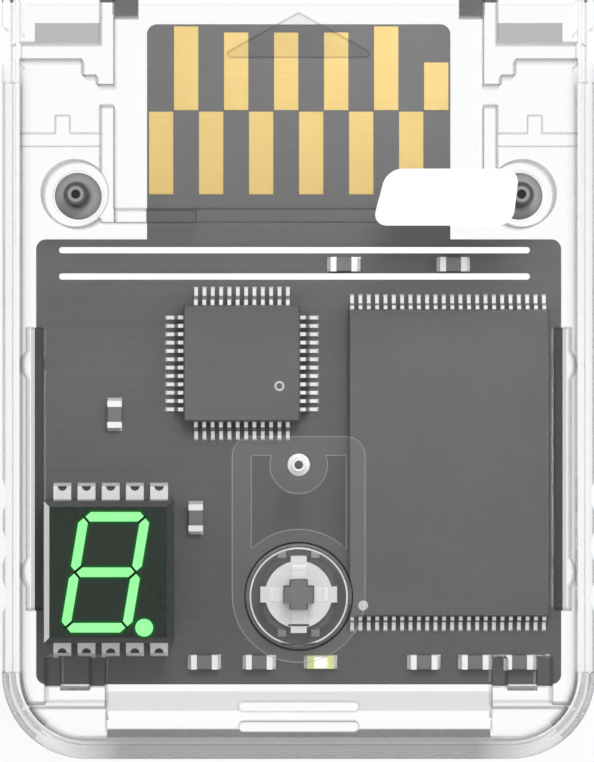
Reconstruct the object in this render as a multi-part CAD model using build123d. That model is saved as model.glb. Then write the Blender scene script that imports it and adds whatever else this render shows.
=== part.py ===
"""Clear console memory card: two moulded shells round a circuit board with an edge connector.

Millimetres. The card lies on its rear face, +Z points out of the front face and +Y to the
connector end. The origin is the middle of the footprint on the table.
"""

import math
import os

from build123d import *

# Case thicknesses, from the rear face to the front face
rear_plate = 1.0
board_rest = 0.2
board_thickness = 1.0
component_space = 4.2
front_plate = 1.2
parting_above_board = 1.0

# Case outline
wall = 1.0
board_side_gap = 0.75
board_bottom_gap = 3.1
bottom_corner_radius = 5.0
front_edge_break = 0.6
front_edge_soften = 0.25
rear_edge_break = 0.5
parting_chamfer = 0.12
inner_parting_gap = 0.1
lip_width = 0.4
lip_height = 0.6
lip_clearance = 0.05
part_clearance = 0.08

# Edge connector
contact_count = 12
contact_pitch = 1.5
contact_side_gap = 0.05
contact_thickness = 0.05
contact_row_gap = 0.1
tongue_margin = 0.1
tongue_length = 12.9
tongue_setback = 1.3
upper_contact_length = 4.65
early_contact_extra = 0.36
late_contact_cut = 1.8
lower_contact_length = 4.95
upper_contact_setback = 0.5
board_corner_radius = 0.6

# Connector chamber and guide pockets at the top of the case
chamber_gap = 1.85
chamber_wall = 0.8
chamber_break_from_top = 5.1
chamber_break = 1.3
mouth_block_width = 1.4
mouth_block_length = 1.1
pocket_depth = 2.7
pocket_wall = 0.95
pocket_step_width = 0.85
pocket_first_step = 0.95
pocket_second_step = 1.5
pocket_key_setback = 1.2
pocket_key_length = 1.1
pocket_key_height = 0.8
pocket_key_gap = 0.65
cross_rib_from_shoulder = 0.9
cross_rib_width = 0.78
cross_rib_block = 4.85
cross_rib_drop = 1.2
tee_rib_from_top = 8.07
tee_rib_width = 0.77
tee_stub_from_chamber = 2.2
tee_stub_length = 1.05
tee_stub_width = 0.85
tee_rib_height = 0.4

# Side grips, latch notches and front face
latch_from_top = 1.8
latch_length = 2.2
latch_depth = 0.45
latch_corner = 0.25
grip_count = 3
grip_pitch = 2.98
grip_from_bottom = 9.55
grip_radius = 2.0
grip_depth = 0.27
arrow_from_top = 1.02
arrow_length = 2.62
arrow_width = 9.5
arrow_corner = 0.2
arrow_depth = 0.2
scoop_from_bottom = 1.3
scoop_length = 2.75
scoop_width = 22.7
scoop_depth = 0.7
scoop_end_run = 0.45
scoop_knee_run = 1.15
scoop_knee_depth = 0.17
bar_count = 3
bar_from_bottom = 1.94
bar_pitch = 1.18
bar_length = 7.1
bar_width = 0.6

# Board rails and hooks under the front plate
rail_overlap = 0.6
rail_width = 0.95
rail_from_shoulder = 5.35
rail_length = 16.7
rail_bump_length = 1.7
rail_bump_from_ends = 2.2
hook_from_edge = 0.75
hook_width = 3.55
hook_leg_width = 0.9
hook_bar_width = 0.85
hook_web = 0.22

# Screws
screw_from_tongue = 4.08
screw_from_shoulder = 2.55
screw_head_radius = 1.39
screw_head_height = 0.9
screw_radius = 0.66
screw_tip_margin = 0.35
screw_hole_clearance = 0.05
screw_slot_width = 0.36
screw_slot_length = 1.7
screw_slot_depth = 0.5
boss_radius = 1.98
boss_floor = 1.3
well_clearance = 0.15

# Chip packages
lead_pitch = 0.5
lead_width = 0.22
lead_thickness = 0.13
lead_foot = 0.5
chip_standoff = 0.08
chip_draft = 0.12
flash_width = 12.0
flash_lead_span = 20.0
flash_lead_reach = 0.8
flash_height = 1.0
flash_leads_per_side = 24
flash_top_margin = 3.4
flash_bottom_margin = 3.3
flash_edge_gap = 0.2
controller_lead_span = 9.0
controller_lead_reach = 1.0
controller_height = 1.4
controller_leads_per_side = 12
controller_gap = 1.85
controller_top_margin = 2.95

# One-digit display
display_width = 7.6
display_length = 8.4
display_height = 4.0
display_bevel = 0.33
display_bottom_margin = 1.9
display_pins_per_side = 5
display_pin_pitch = 1.45
display_pin_width = 1.06
display_pin_thickness = 0.28
display_pin_reach = 0.8
display_pin_notch = 0.3
display_notch_sides = 8
digit_half_width = 1.81
digit_half_height = 3.28
digit_slant_deg = 9.5
digit_shift = -0.15
segment_width = 0.57
segment_gap = 0.07
segment_depth = 0.3
point_radius = 0.53
point_from_digit = 2.29

# Press switch
switch_size = 4.2
switch_gap = 0.85
switch_corner = 1.3
switch_height = 1.9
switch_from_board_bottom = 5.5
cover_radius = 2.0
cover_thickness = 0.2
cover_tab_width = 0.94
cover_tab_thickness = 0.18
cover_tab_drop = 0.9
switch_well = 3.0
switch_floor = 0.5
dome_radius = 1.4
dome_rise = 0.4
dome_thickness = 0.1
dome_leg_width = 0.9
key_half_length = 0.85
key_half_width = 0.48
key_flange = 2.4
key_clearance = 0.06
key_flange_gap = 0.05
key_dome_gap = 0.02
key_button_gap = 0.02
switch_pin_spacing = 2.0
switch_pin_width = 0.5
switch_pin_thickness = 0.15
switch_pin_reach = 0.5

# Page button
cap_radius = 3.0
cap_clearance = 0.15
cap_recess = 0.1
cap_chamfer = 0.2
frame_half_width = 3.95
frame_arm = 1.17
frame_bar = 1.15
frame_thickness = 0.8
frame_gap = 0.05
frame_corner = 1.15
frame_length = 9.43
tab_radius = 1.72
rivet_from_frame_top = 1.69
rivet_barrel_radius = 0.42
rivet_hole_radius = 0.25
rivet_flange_radius = 0.66
rivet_flange_thickness = 0.26
rivet_socket_depth = 0.5
rivet_frame_gap = 0.12
rivet_hole_clearance = 0.12
rivet_socket_clearance = 0.01

# Small chip parts and the lamp
chip_length = 1.6
chip_width = 0.8
chip_height = 0.5
chip_cap_length = 0.35
chip_cap_wrap = 0.03
lamp_base_height = 0.25
lamp_lens_height = 0.55
lamp_taper = 0.85
bottom_row_from_edge = 1.35
top_row_from_shoulder = 1.5
bottom_row_places = (-5.65, -2.36, 7.51)
top_row_places = (2.71, 9.27)
lamp_place = 1.31
upper_upright_rise = 9.3
upper_upright_shift = 0.24
lower_upright_gap = 1.3
lower_upright_rise = 3.1

# Heights
z_rest = rear_plate + board_rest
z_board = z_rest + board_thickness
z_front = z_board + component_space
z_part = z_board + parting_above_board
card_thickness = z_front + front_plate
z_split = z_part + inner_parting_gap

# Widths, worked out from the switch and the memory chip beside it
board_half = switch_size / 2 + switch_gap + flash_width + flash_edge_gap + rail_overlap
inner_half = board_half + board_side_gap
card_half = inner_half + wall
tongue_half = contact_count * contact_pitch / 2 + tongue_margin
chamber_half = tongue_half + chamber_gap
chamber_outer = chamber_half + chamber_wall

# Package bodies, between their rows of leads
flash_length = flash_lead_span - 2 * flash_lead_reach
controller_size = controller_lead_span - 2 * controller_lead_reach

# Lengths, from the connector end down
board_body_length = flash_top_margin + flash_lead_span + flash_bottom_margin
card_length = tongue_setback + tongue_length + board_body_length + board_bottom_gap + wall
y_top = card_length / 2
y_tongue = y_top - tongue_setback
y_shoulder = y_tongue - tongue_length
y_board = y_shoulder - board_body_length

# Places shared by pieces that meet
rail_inner = board_half - rail_overlap
rail_outer = rail_inner + rail_width
rail_top = y_shoulder - rail_from_shoulder
hook_outer = board_half - hook_from_edge
hook_inner = hook_outer - hook_width
hook_middle = (hook_outer + hook_inner) / 2
hook_leg_length = display_bottom_margin - part_clearance
screw_x = tongue_half + screw_from_tongue
screw_y = y_shoulder + screw_from_shoulder
z_screw_seat = z_part - boss_floor
z_screw_tip = z_front - screw_tip_margin
pocket_floor = y_top - pocket_depth
flash_x = rail_inner - flash_edge_gap - flash_width / 2
flash_y = y_shoulder - flash_top_margin - flash_lead_span / 2
controller_x = flash_x - flash_width / 2 - controller_gap - controller_lead_span / 2
controller_y = y_shoulder - controller_top_margin - controller_lead_span / 2
display_x = -(rail_inner - part_clearance) + display_width / 2
display_y = y_board + display_bottom_margin + display_pin_reach + display_length / 2
switch_y = y_board + switch_from_board_bottom
z_switch = z_board + switch_height
z_frame_top = z_front - frame_gap
z_frame_bottom = z_frame_top - frame_thickness
z_cap = card_thickness - cap_recess
y_frame_top = switch_y + frame_length
rivet_y = y_frame_top - rivet_from_frame_top
z_flange = z_frame_bottom - rivet_frame_gap


def block(x0, x1, y0, y1, z0, z1):
    """A box between two opposite corners."""
    middle = Pos((x0 + x1) / 2, (y0 + y1) / 2, (z0 + z1) / 2)
    return middle * Box(abs(x1 - x0), abs(y1 - y0), abs(z1 - z0))


def post(x, y, radius, z0, z1):
    """An upright cylinder between two heights."""
    return Pos(x, y, (z0 + z1) / 2) * Cylinder(radius, z1 - z0)


def prism(sketch, z0, z1):
    """A plan sketch raised between two heights."""
    return Pos(0, 0, z0) * extrude(sketch, z1 - z0)


def pair(shape):
    """A shape and its mirror image across the card's middle."""
    return [shape, mirror(shape, about=Plane.YZ)]


def case_outline(inset, top_extra):
    """The plan outline, moved in along the sides and the rounded bottom."""
    half = card_half - inset
    low = -y_top + inset
    high = y_top + top_extra
    face = Pos(0, (low + high) / 2) * Rectangle(2 * half, high - low)
    return fillet(face.vertices().group_by(Axis.Y)[0], bottom_corner_radius - inset)


def below_top_edge(face):
    """The edges of a flat face that aren't along the connector end."""
    return [edge for edge in face.edges() if edge.center().Y < y_top - wall / 2]


def side_cuts():
    """Latch notches and finger grips down both sides."""
    notch_low = y_top - latch_from_top - latch_length
    mouth = Rectangle(2 * latch_depth, latch_length)
    mouth = chamfer(mouth.vertices().group_by(Axis.X)[0], latch_corner)
    notch = Pos(card_half, notch_low + latch_length / 2) * mouth
    cuts = pair(prism(notch, -wall, card_thickness + wall))
    for index in range(grip_count):
        y = -y_top + grip_from_bottom + index * grip_pitch
        x = card_half + grip_radius - grip_depth
        cuts += pair(post(x, y, grip_radius, -wall, card_thickness + wall))
    return cuts


def joining_lips(grow):
    """Straight lips on the rear walls, or grown a little, the grooves that take them."""
    inner = inner_half - grow
    outer = inner_half + lip_width + grow
    side_high = y_top - latch_from_top - latch_length - wall + grow
    side_low = -y_top + bottom_corner_radius - grow
    low = z_part - wall / 2
    high = z_part + lip_height + grow
    end_half = card_half - bottom_corner_radius + grow
    end_inner = -y_top + wall + grow
    end_outer = -y_top + wall - lip_width - grow
    lips = pair(block(inner, outer, side_low, side_high, low, high))
    return lips + [block(-end_half, end_half, end_outer, end_inner, low, high)]


def end_walls(z0, z1):
    """Chamber sides, guide-pocket floors and their stepped inner corners."""
    break_top = y_top - chamber_break_from_top
    break_low = break_top - chamber_break
    cross_low = y_shoulder + cross_rib_from_shoulder
    floor_low = pocket_floor - pocket_wall
    step_one = chamber_outer + pocket_step_width / 4
    step_two = step_one + pocket_step_width
    shapes = []
    shapes += pair(block(chamber_half, chamber_outer, break_top, y_top, z0, z1))
    shapes += pair(block(chamber_half, chamber_outer, cross_low, break_low, z0, z1))
    shapes += pair(block(chamber_half, inner_half + wall / 4, floor_low, pocket_floor, z0, z1))
    low = floor_low - pocket_first_step
    shapes += pair(block(chamber_half, step_two, low, pocket_floor, z0, z1))
    low = floor_low - pocket_second_step
    shapes += pair(block(chamber_half, step_one, low, pocket_floor, z0, z1))
    return shapes


def make_front_shell():
    """Front half of the case with every rib that stands behind its plate."""
    shell = prism(case_outline(0, 0), z_part, card_thickness)
    shell = chamfer(below_top_edge(shell.faces().sort_by(Axis.Z)[-1]), front_edge_break)
    shell = chamfer(below_top_edge(shell.faces().sort_by(Axis.Z)[-1]), front_edge_soften)
    shell = chamfer(below_top_edge(shell.faces().sort_by(Axis.Z)[0]), parting_chamfer)
    shell -= prism(case_outline(wall, wall), z_part - wall, z_front)

    ribs = end_walls(z_split, z_front)
    block_inner = chamber_half - mouth_block_width
    block_low = y_top - mouth_block_length
    ribs += pair(block(block_inner, chamber_half + wall / 4, block_low, y_top, z_split, z_front))

    cross_low = y_shoulder + cross_rib_from_shoulder
    cross_high = cross_low + cross_rib_width
    hung = z_front - cross_rib_drop
    ribs += [block(-chamber_half, chamber_half, cross_low, cross_high, hung, z_front)]
    block_inner = chamber_half - cross_rib_block
    block_outer = chamber_half - part_clearance
    ribs += pair(block(block_inner, block_outer, cross_low, cross_high, z_board, z_front))

    tee_low = y_top - tee_rib_from_top - tee_rib_width
    tee_high = tee_low + tee_rib_width
    tee_z = z_front - tee_rib_height
    stub_x = chamber_outer + tee_stub_from_chamber
    stub_half = tee_stub_width / 2
    ribs += pair(block(chamber_outer - wall / 4, inner_half + wall / 4, tee_low, tee_high, tee_z, z_front))
    stub_high = tee_high + tee_stub_length
    ribs += pair(block(stub_x - stub_half, stub_x + stub_half, tee_low, stub_high, tee_z, z_front))

    ribs += pair(block(rail_inner, rail_outer, rail_top - rail_length, rail_top, z_board, z_front))
    bump_reach = inner_half - part_clearance - rail_outer
    bump_half = rail_bump_length / 2
    bump_outline = [
        (0, -bump_half),
        (0.75 * bump_reach, -bump_half / 2),
        (bump_reach, 0),
        (0.75 * bump_reach, bump_half / 2),
        (0, bump_half),
    ]
    bump_face = Polygon(*bump_outline, align=None)
    for bump_y in (rail_top - rail_bump_from_ends, rail_top - rail_length + rail_bump_from_ends):
        ribs += pair(prism(Pos(rail_outer, bump_y) * bump_face, z_board, z_front))

    leg_high = y_board + hook_leg_length
    leg_low = y_board - part_clearance - hook_bar_width
    ribs += pair(block(hook_inner, hook_inner + hook_leg_width, leg_low, leg_high, z_board, z_front))
    ribs += pair(block(hook_outer - hook_leg_width, hook_outer, leg_low, leg_high, z_board, z_front))
    bar_high = y_board - part_clearance
    ribs += pair(block(hook_inner, hook_outer, leg_low, bar_high, z_rest, z_front))
    ribs += pair(block(hook_inner, inner_half - wall / 4, leg_low - hook_web, leg_low, z_split, z_front))

    ribs += pair(post(screw_x, screw_y, boss_radius, z_split, z_front))
    shell += ribs

    shell -= joining_lips(lip_clearance)

    hole_radius = screw_radius + screw_hole_clearance
    shell -= pair(post(screw_x, screw_y, hole_radius, z_part, z_screw_tip + screw_hole_clearance))

    cap_hole = cap_radius + cap_clearance
    shell -= post(0, switch_y, cap_hole, z_front - wall, card_thickness + wall)
    socket_radius = rivet_barrel_radius + rivet_socket_clearance
    shell -= post(0, rivet_y, socket_radius, z_front - wall, z_front + rivet_socket_depth)

    apex = y_top - arrow_from_top
    base = apex - arrow_length
    arrow = Polygon((0, apex), (-arrow_width / 2, base), (arrow_width / 2, base), align=None)
    arrow = fillet(arrow.vertices().group_by(Axis.Y)[0], arrow_corner)
    shell -= prism(arrow, card_thickness - arrow_depth, card_thickness + wall)

    scoop_low = -y_top + scoop_from_bottom
    scoop_deep = (scoop_low + scoop_end_run, card_thickness - scoop_depth)
    scoop_high = (scoop_low + scoop_length, card_thickness)
    scoop_knee = (scoop_high[0] - scoop_knee_run, card_thickness - scoop_knee_depth)
    scoop_rim = (scoop_low, card_thickness)
    scoop = Plane.YZ * Polygon(scoop_rim, scoop_deep, scoop_knee, scoop_high, align=None)
    shell -= extrude(scoop, scoop_width / 2, both=True)
    bar_low = card_thickness - scoop_depth - front_plate / 8
    for index in range(bar_count):
        y = -y_top + bar_from_bottom + index * bar_pitch
        bar = prism(Pos(0, y) * SlotOverall(bar_length, bar_width), bar_low, card_thickness)
        shell += bar
    return shell - side_cuts()


def make_rear_shell():
    """Rear half of the case with the joining lip, screw wells and board rests."""
    shell = prism(case_outline(0, 0), 0, z_part)
    shell = chamfer(below_top_edge(shell.faces().sort_by(Axis.Z)[0]), rear_edge_break)
    shell -= prism(case_outline(wall, wall), rear_plate, z_part + wall)

    shell += joining_lips(0)
    ribs = end_walls(rear_plate, z_part)
    key_high = y_top - pocket_key_setback
    key_low = key_high - pocket_key_length
    key_outer = inner_half - pocket_key_gap
    key_top = rear_plate + pocket_key_height
    ribs += pair(block(chamber_outer, key_outer, key_low, key_high, rear_plate, key_top))
    rest_low = y_board + board_corner_radius
    rest_high = y_shoulder - board_corner_radius
    ribs += pair(block(rail_inner, inner_half + wall / 4, rest_low, rest_high, rear_plate, z_rest))
    strip_x = tongue_half - 2 * contact_pitch
    strip_high = y_tongue - contact_pitch
    ribs += pair(block(strip_x, strip_x + contact_pitch, y_shoulder, strip_high, rear_plate, z_rest))
    pad = switch_size / 2
    ribs += [block(-pad, pad, switch_y - pad, switch_y + pad, rear_plate, z_rest)]
    ribs += pair(post(screw_x, screw_y, boss_radius, rear_plate, z_part))
    shell += ribs

    shell -= pair(post(screw_x, screw_y, screw_head_radius + well_clearance, -wall, z_screw_seat))
    shell -= pair(post(screw_x, screw_y, screw_radius + well_clearance, 0, z_part + wall))
    return shell - side_cuts()


def make_circuit_board():
    """Board with its connector tongue."""
    body_middle = (y_shoulder + y_board) / 2
    body = RectangleRounded(2 * board_half, board_body_length, board_corner_radius)
    tongue = Rectangle(2 * tongue_half, tongue_length + wall)
    tongue = fillet(tongue.vertices().group_by(Axis.Y)[-1], board_corner_radius)
    tongue_middle = y_tongue - (tongue_length + wall) / 2
    outline = Pos(0, body_middle) * body + Pos(0, tongue_middle) * tongue
    return prism(outline, z_rest, z_board)


def make_edge_contacts():
    """Two staggered rows of contacts, with two that meet early and one that meets late."""
    split = y_tongue - upper_contact_setback - upper_contact_length
    half = contact_pitch / 2 - contact_side_gap / 2
    top = z_board + contact_thickness
    shapes = []
    for index in range(contact_count):
        x = (index - (contact_count - 1) / 2) * contact_pitch
        if index % 2 == 0:
            high = split - contact_row_gap
            low = high - lower_contact_length
        else:
            low = split
            high = split + upper_contact_length
            if index in (1, contact_count - 3):
                high += early_contact_extra
            if index == contact_count - 1:
                high -= late_contact_cut
        shapes.append(block(x - half, x + half, low, high, z_board, top))
    return shapes


def chip_body(width, length, height):
    """A moulded package with drafted sides."""
    middle = z_board + chip_standoff + height / 2
    upper = Pos(0, 0, middle) * loft(
        [
            Rectangle(width, length),
            Pos(0, 0, height / 2) * Rectangle(width - 2 * chip_draft, length - 2 * chip_draft),
        ]
    )
    lower = Pos(0, 0, middle) * loft(
        [
            Pos(0, 0, -height / 2) * Rectangle(width - 2 * chip_draft, length - 2 * chip_draft),
            Rectangle(width, length),
        ]
    )
    return upper + lower


def lead_row(body_half, span_half, height, count):
    """One row of gull-wing leads along the +Y side of a package."""
    middle = z_board + chip_standoff + height / 2
    low = middle - lead_thickness / 2
    high = middle + lead_thickness / 2
    foot = span_half - lead_foot
    knee = (body_half + foot) / 2
    foot_top = z_board + lead_thickness
    profile = [
        (body_half, low),
        (body_half, high),
        (knee + lead_thickness / 2, high),
        (foot + lead_thickness / 2, foot_top),
        (span_half, foot_top),
        (span_half, z_board),
        (foot - lead_thickness / 2, z_board),
    ]
    face = Plane.YZ * Polygon(*profile, align=None)
    lead = extrude(face, lead_width / 2, both=True)
    places = [(index - (count - 1) / 2) * lead_pitch for index in range(count)]
    return [Pos(x, 0, 0) * lead for x in places]


def make_controller():
    """Square package and its four rows of leads."""
    place = Pos(controller_x, controller_y, 0)
    body = place * chip_body(controller_size, controller_size, controller_height)
    row = lead_row(
        controller_size / 2,
        controller_lead_span / 2,
        controller_height,
        controller_leads_per_side,
    )
    leads = [place * Rot(0, 0, turn) * lead for turn in (0, 90, 180, 270) for lead in row]
    return body, leads


def make_flash():
    """Long package and its two rows of leads."""
    place = Pos(flash_x, flash_y, 0)
    body = place * chip_body(flash_width, flash_length, flash_height)
    row = lead_row(flash_length / 2, flash_lead_span / 2, flash_height, flash_leads_per_side)
    leads = [place * Rot(0, 0, turn) * lead for turn in (0, 180) for lead in row]
    return body, leads


def digit_shapes():
    """Plan shapes of the seven slanted bars and the point, round the middle of the digit."""
    lean = math.tan(math.radians(digit_slant_deg))
    half = segment_width / 2

    def slanted(points):
        return Polygon(*[(x + y * lean + digit_shift, y) for x, y in points], align=None)

    def level_bar(y):
        reach = digit_half_width - segment_gap
        return slanted(
            [
                (-reach, y),
                (-reach + half, y - half),
                (reach - half, y - half),
                (reach, y),
                (reach - half, y + half),
                (-reach + half, y + half),
            ]
        )

    def upright_bar(x, low, high):
        low = low + segment_gap
        high = high - segment_gap
        return slanted(
            [
                (x, low),
                (x + half, low + half),
                (x + half, high - half),
                (x, high),
                (x - half, high - half),
                (x - half, low + half),
            ]
        )

    shapes = [level_bar(y) for y in (digit_half_height, 0, -digit_half_height)]
    for x in (-digit_half_width, digit_half_width):
        shapes.append(upright_bar(x, 0, digit_half_height))
        shapes.append(upright_bar(x, -digit_half_height, 0))
    shapes.append(Pos(point_from_digit + digit_shift, -digit_half_height) * Circle(point_radius))
    return shapes


def make_display():
    """Display body, its bars let into the face, and its notched terminals."""
    place = Pos(display_x, display_y, 0)
    top = z_board + display_height
    body = block(
        -display_width / 2,
        display_width / 2,
        -display_length / 2,
        display_length / 2,
        z_board,
        top,
    )
    body = chamfer(body.faces().sort_by(Axis.Z)[-1].edges(), display_bevel)
    bars = [prism(shape, top - segment_depth, top) for shape in digit_shapes()]
    body -= bars
    tip = display_length / 2 + display_pin_reach
    low = display_length / 2
    pin = Pos(0, (tip + low) / 2) * Rectangle(display_pin_width, tip - low)
    pin -= Pos(0, tip) * RegularPolygon(display_pin_notch, display_notch_sides)
    pin = prism(pin, z_board, z_board + display_pin_thickness)
    pins = []
    for index in range(display_pins_per_side):
        x = (index - (display_pins_per_side - 1) / 2) * display_pin_pitch
        pins += [Pos(x, 0, 0) * pin, Pos(x, 0, 0) * mirror(pin, about=Plane.XZ)]
    return place * body, [place * bar for bar in bars], [place * pin for pin in pins]


def key_outline(grow):
    """Cross-shaped plan of the switch key, grown for the hole it slides in."""
    length = 2 * (key_half_length + grow)
    width = 2 * (key_half_width + grow)
    return Rectangle(length, width) + Rectangle(width, length)


def make_switch():
    """Press switch: body, cover, snap dome, key and terminals."""
    place = Pos(0, switch_y, 0)
    body = prism(RectangleRounded(switch_size, switch_size, switch_corner), z_board, z_switch)
    z_floor = z_board + switch_floor
    well = switch_well / 2
    body -= block(-well, well, -well, well, z_floor, z_switch + wall)

    z_cover = z_switch + cover_thickness
    tab_inner = switch_size / 2
    tab_outer = tab_inner + cover_tab_thickness
    tab_half = cover_tab_width / 2
    tab_low = z_switch - cover_tab_drop
    lug = block(0, tab_outer, -tab_half, tab_half, z_switch, z_cover)
    lug += block(tab_inner, tab_outer, -tab_half, tab_half, tab_low, z_cover)
    cover = post(0, 0, cover_radius, z_switch, z_cover)
    cover += [Rot(0, 0, turn) * lug for turn in (0, 90, 180, 270)]
    cover -= prism(key_outline(key_clearance), z_switch - wall, z_cover + wall)

    crown = dome_radius / 2
    z_dome = z_floor + dome_rise
    arch = [
        (-dome_radius, z_floor),
        (-crown, z_dome),
        (crown, z_dome),
        (dome_radius, z_floor),
        (dome_radius - 2 * dome_thickness, z_floor),
        (crown - dome_thickness, z_dome - dome_thickness),
        (-crown + dome_thickness, z_dome - dome_thickness),
        (-dome_radius + 2 * dome_thickness, z_floor),
    ]
    strip = extrude(Plane.XZ * Polygon(*arch, align=None), dome_leg_width / 2, both=True)
    dome = strip + Rot(0, 0, 90) * strip

    key_low = z_dome + key_dome_gap
    key_top = z_frame_bottom - key_button_gap
    flange = key_flange / 2
    key = block(-flange, flange, -flange, flange, key_low, z_switch - key_flange_gap)
    key += prism(key_outline(0), key_low, key_top)

    pin_half = switch_pin_width / 2
    pin_x = switch_pin_spacing / 2
    pin_tip = switch_size / 2 + switch_pin_reach
    pin_top = z_board + switch_pin_thickness
    pin = block(pin_x - pin_half, pin_x + pin_half, switch_size / 2, pin_tip, z_board, pin_top)
    pins = pair(pin) + pair(mirror(pin, about=Plane.XZ))
    return (
        place * body,
        place * cover,
        place * dome,
        place * key,
        [place * shape for shape in pins],
    )


def make_page_button():
    """Cap and sprung frame in one moulding: two arms carry a ring that the cap stands on."""
    height = y_frame_top - switch_y
    frame = Pos(0, switch_y + height / 2) * Rectangle(2 * frame_half_width, height)
    frame = fillet(frame.vertices().group_by(Axis.Y)[-1], frame_corner)
    frame += Pos(0, switch_y) * Circle(frame_half_width)
    window_half = frame_half_width - frame_arm
    window_high = y_frame_top - frame_bar
    window = Pos(0, (window_high + switch_y) / 2) * Rectangle(2 * window_half, window_high - switch_y)
    window -= Pos(0, switch_y) * Circle(frame_half_width)
    window -= Pos(0, rivet_y) * Circle(tab_radius)
    frame -= window
    frame -= Pos(0, rivet_y) * Circle(rivet_barrel_radius + rivet_hole_clearance)
    button = prism(frame, z_frame_bottom, z_frame_top)
    cap = post(0, switch_y, cap_radius, z_frame_bottom, z_cap)
    cap = chamfer(cap.faces().sort_by(Axis.Z)[-1].edges(), cap_chamfer)
    return button + cap


def make_button_rivet():
    """Hollow rivet with a tapered flange, set in the front plate."""
    z_end = z_front + rivet_socket_depth
    z_low = z_flange - rivet_flange_thickness
    flange = Cone(rivet_flange_radius, rivet_barrel_radius, rivet_flange_thickness)
    rivet = Pos(0, rivet_y, (z_low + z_flange) / 2) * flange
    rivet += post(0, rivet_y, rivet_barrel_radius, z_flange, z_end)
    return rivet - post(0, rivet_y, rivet_hole_radius, z_low - wall, z_end + wall)


def make_case_screws():
    """Two pan-head screws, put in from the rear."""
    head_low = z_screw_seat - screw_head_height
    head = post(screw_x, screw_y, screw_head_radius, head_low, z_screw_seat)
    for width, length in (
        (screw_slot_width, screw_slot_length),
        (screw_slot_length, screw_slot_width),
    ):
        slot = Pos(screw_x, screw_y) * Rectangle(width, length)
        head -= prism(slot, head_low - wall, head_low + screw_slot_depth)
    return pair(head + post(screw_x, screw_y, screw_radius, z_screw_seat, z_screw_tip))


def chip_part():
    """Body and end caps of one small chip part, lying along X."""
    half = chip_length / 2
    inner = half - chip_cap_length
    side = chip_width / 2
    top = z_board + chip_height
    body = block(-inner, inner, -side, side, z_board, top)
    wrap = side + chip_cap_wrap
    cap = block(inner, half, -wrap, wrap, z_board, top + chip_cap_wrap)
    return body, pair(cap)


def make_chip_parts():
    """The small chip parts scattered over the board."""
    low = y_board + bottom_row_from_edge
    high = y_shoulder - top_row_from_shoulder
    by_hook = hook_inner - part_clearance - chip_length / 2
    places = [(x, low, 0) for x in (*bottom_row_places, by_hook, hook_middle)]
    places += [(x, high, 0) for x in top_row_places]
    places.append((display_x + upper_upright_shift, display_y + upper_upright_rise, 90))
    upright_x = display_x + display_width / 2 + lower_upright_gap
    places.append((upright_x, display_y + lower_upright_rise, 90))
    body, caps = chip_part()
    bodies = [Pos(x, y, 0) * Rot(0, 0, turn) * body for x, y, turn in places]
    ends = [Pos(x, y, 0) * Rot(0, 0, turn) * cap for x, y, turn in places for cap in caps]
    return bodies, ends


def make_status_lamp():
    """Small lamp: a flat base with a drafted lens, and two end caps."""
    place = Pos(lamp_place, y_board + bottom_row_from_edge, 0)
    inner = chip_length / 2 - chip_cap_length
    side = chip_width / 2
    base_top = z_board + lamp_base_height
    lens = loft(
        [
            Pos(0, 0, base_top) * Rectangle(2 * inner, 2 * side),
            Pos(0, 0, base_top + lamp_lens_height)
            * Rectangle(2 * lamp_taper * inner, 2 * lamp_taper * side),
        ]
    )
    body = block(-inner, inner, -side, side, z_board, base_top) + lens
    cap = block(inner, chip_length / 2, -side, side, z_board, base_top)
    return place * body, [place * shape for shape in pair(cap)]


controller_chip, controller_leads = make_controller()
flash_chip, flash_leads = make_flash()
display_housing, display_segments, display_terminals = make_display()
switch_base, switch_cover, switch_dome, switch_plunger, switch_terminals = make_switch()
chip_resistors, resistor_caps = make_chip_parts()
status_led, led_caps = make_status_lamp()

nodes = {
    "front_shell": make_front_shell(),
    "rear_shell": make_rear_shell(),
    "circuit_board": make_circuit_board(),
    "edge_contacts": make_edge_contacts(),
    "controller_chip": controller_chip,
    "controller_leads": controller_leads,
    "flash_chip": flash_chip,
    "flash_leads": flash_leads,
    "display_housing": display_housing,
    "display_segments": display_segments,
    "display_terminals": display_terminals,
    "switch_base": switch_base,
    "switch_cover": switch_cover,
    "switch_dome": switch_dome,
    "switch_plunger": switch_plunger,
    "switch_terminals": switch_terminals,
    "page_button": make_page_button(),
    "button_rivet": make_button_rivet(),
    "case_screws": make_case_screws(),
    "chip_resistors": chip_resistors,
    "resistor_caps": resistor_caps,
    "status_led": status_led,
    "led_caps": led_caps,
}

os.makedirs("parts", exist_ok=True)
for name, shape in nodes.items():
    solids = shape if isinstance(shape, list) else [shape]
    whole = [solid for item in solids for solid in item.solids()]
    piece = whole[0] if len(whole) == 1 else Compound(children=whole)
    export_step(piece, os.path.join("parts", name + ".step"))
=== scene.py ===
"""Looks of a clear memory card: case, sprung button, board, display, chips and screws.

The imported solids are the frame.  Each sub-assembly below dresses its own solids with finishes
and adds the small forms that the solids leave out: solder, threads, print and outlines.
"""

import functools
import logging
import math
from dataclasses import dataclass, field
from enum import Enum

import bmesh
import bpy
from mathutils import Matrix, Vector


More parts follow.
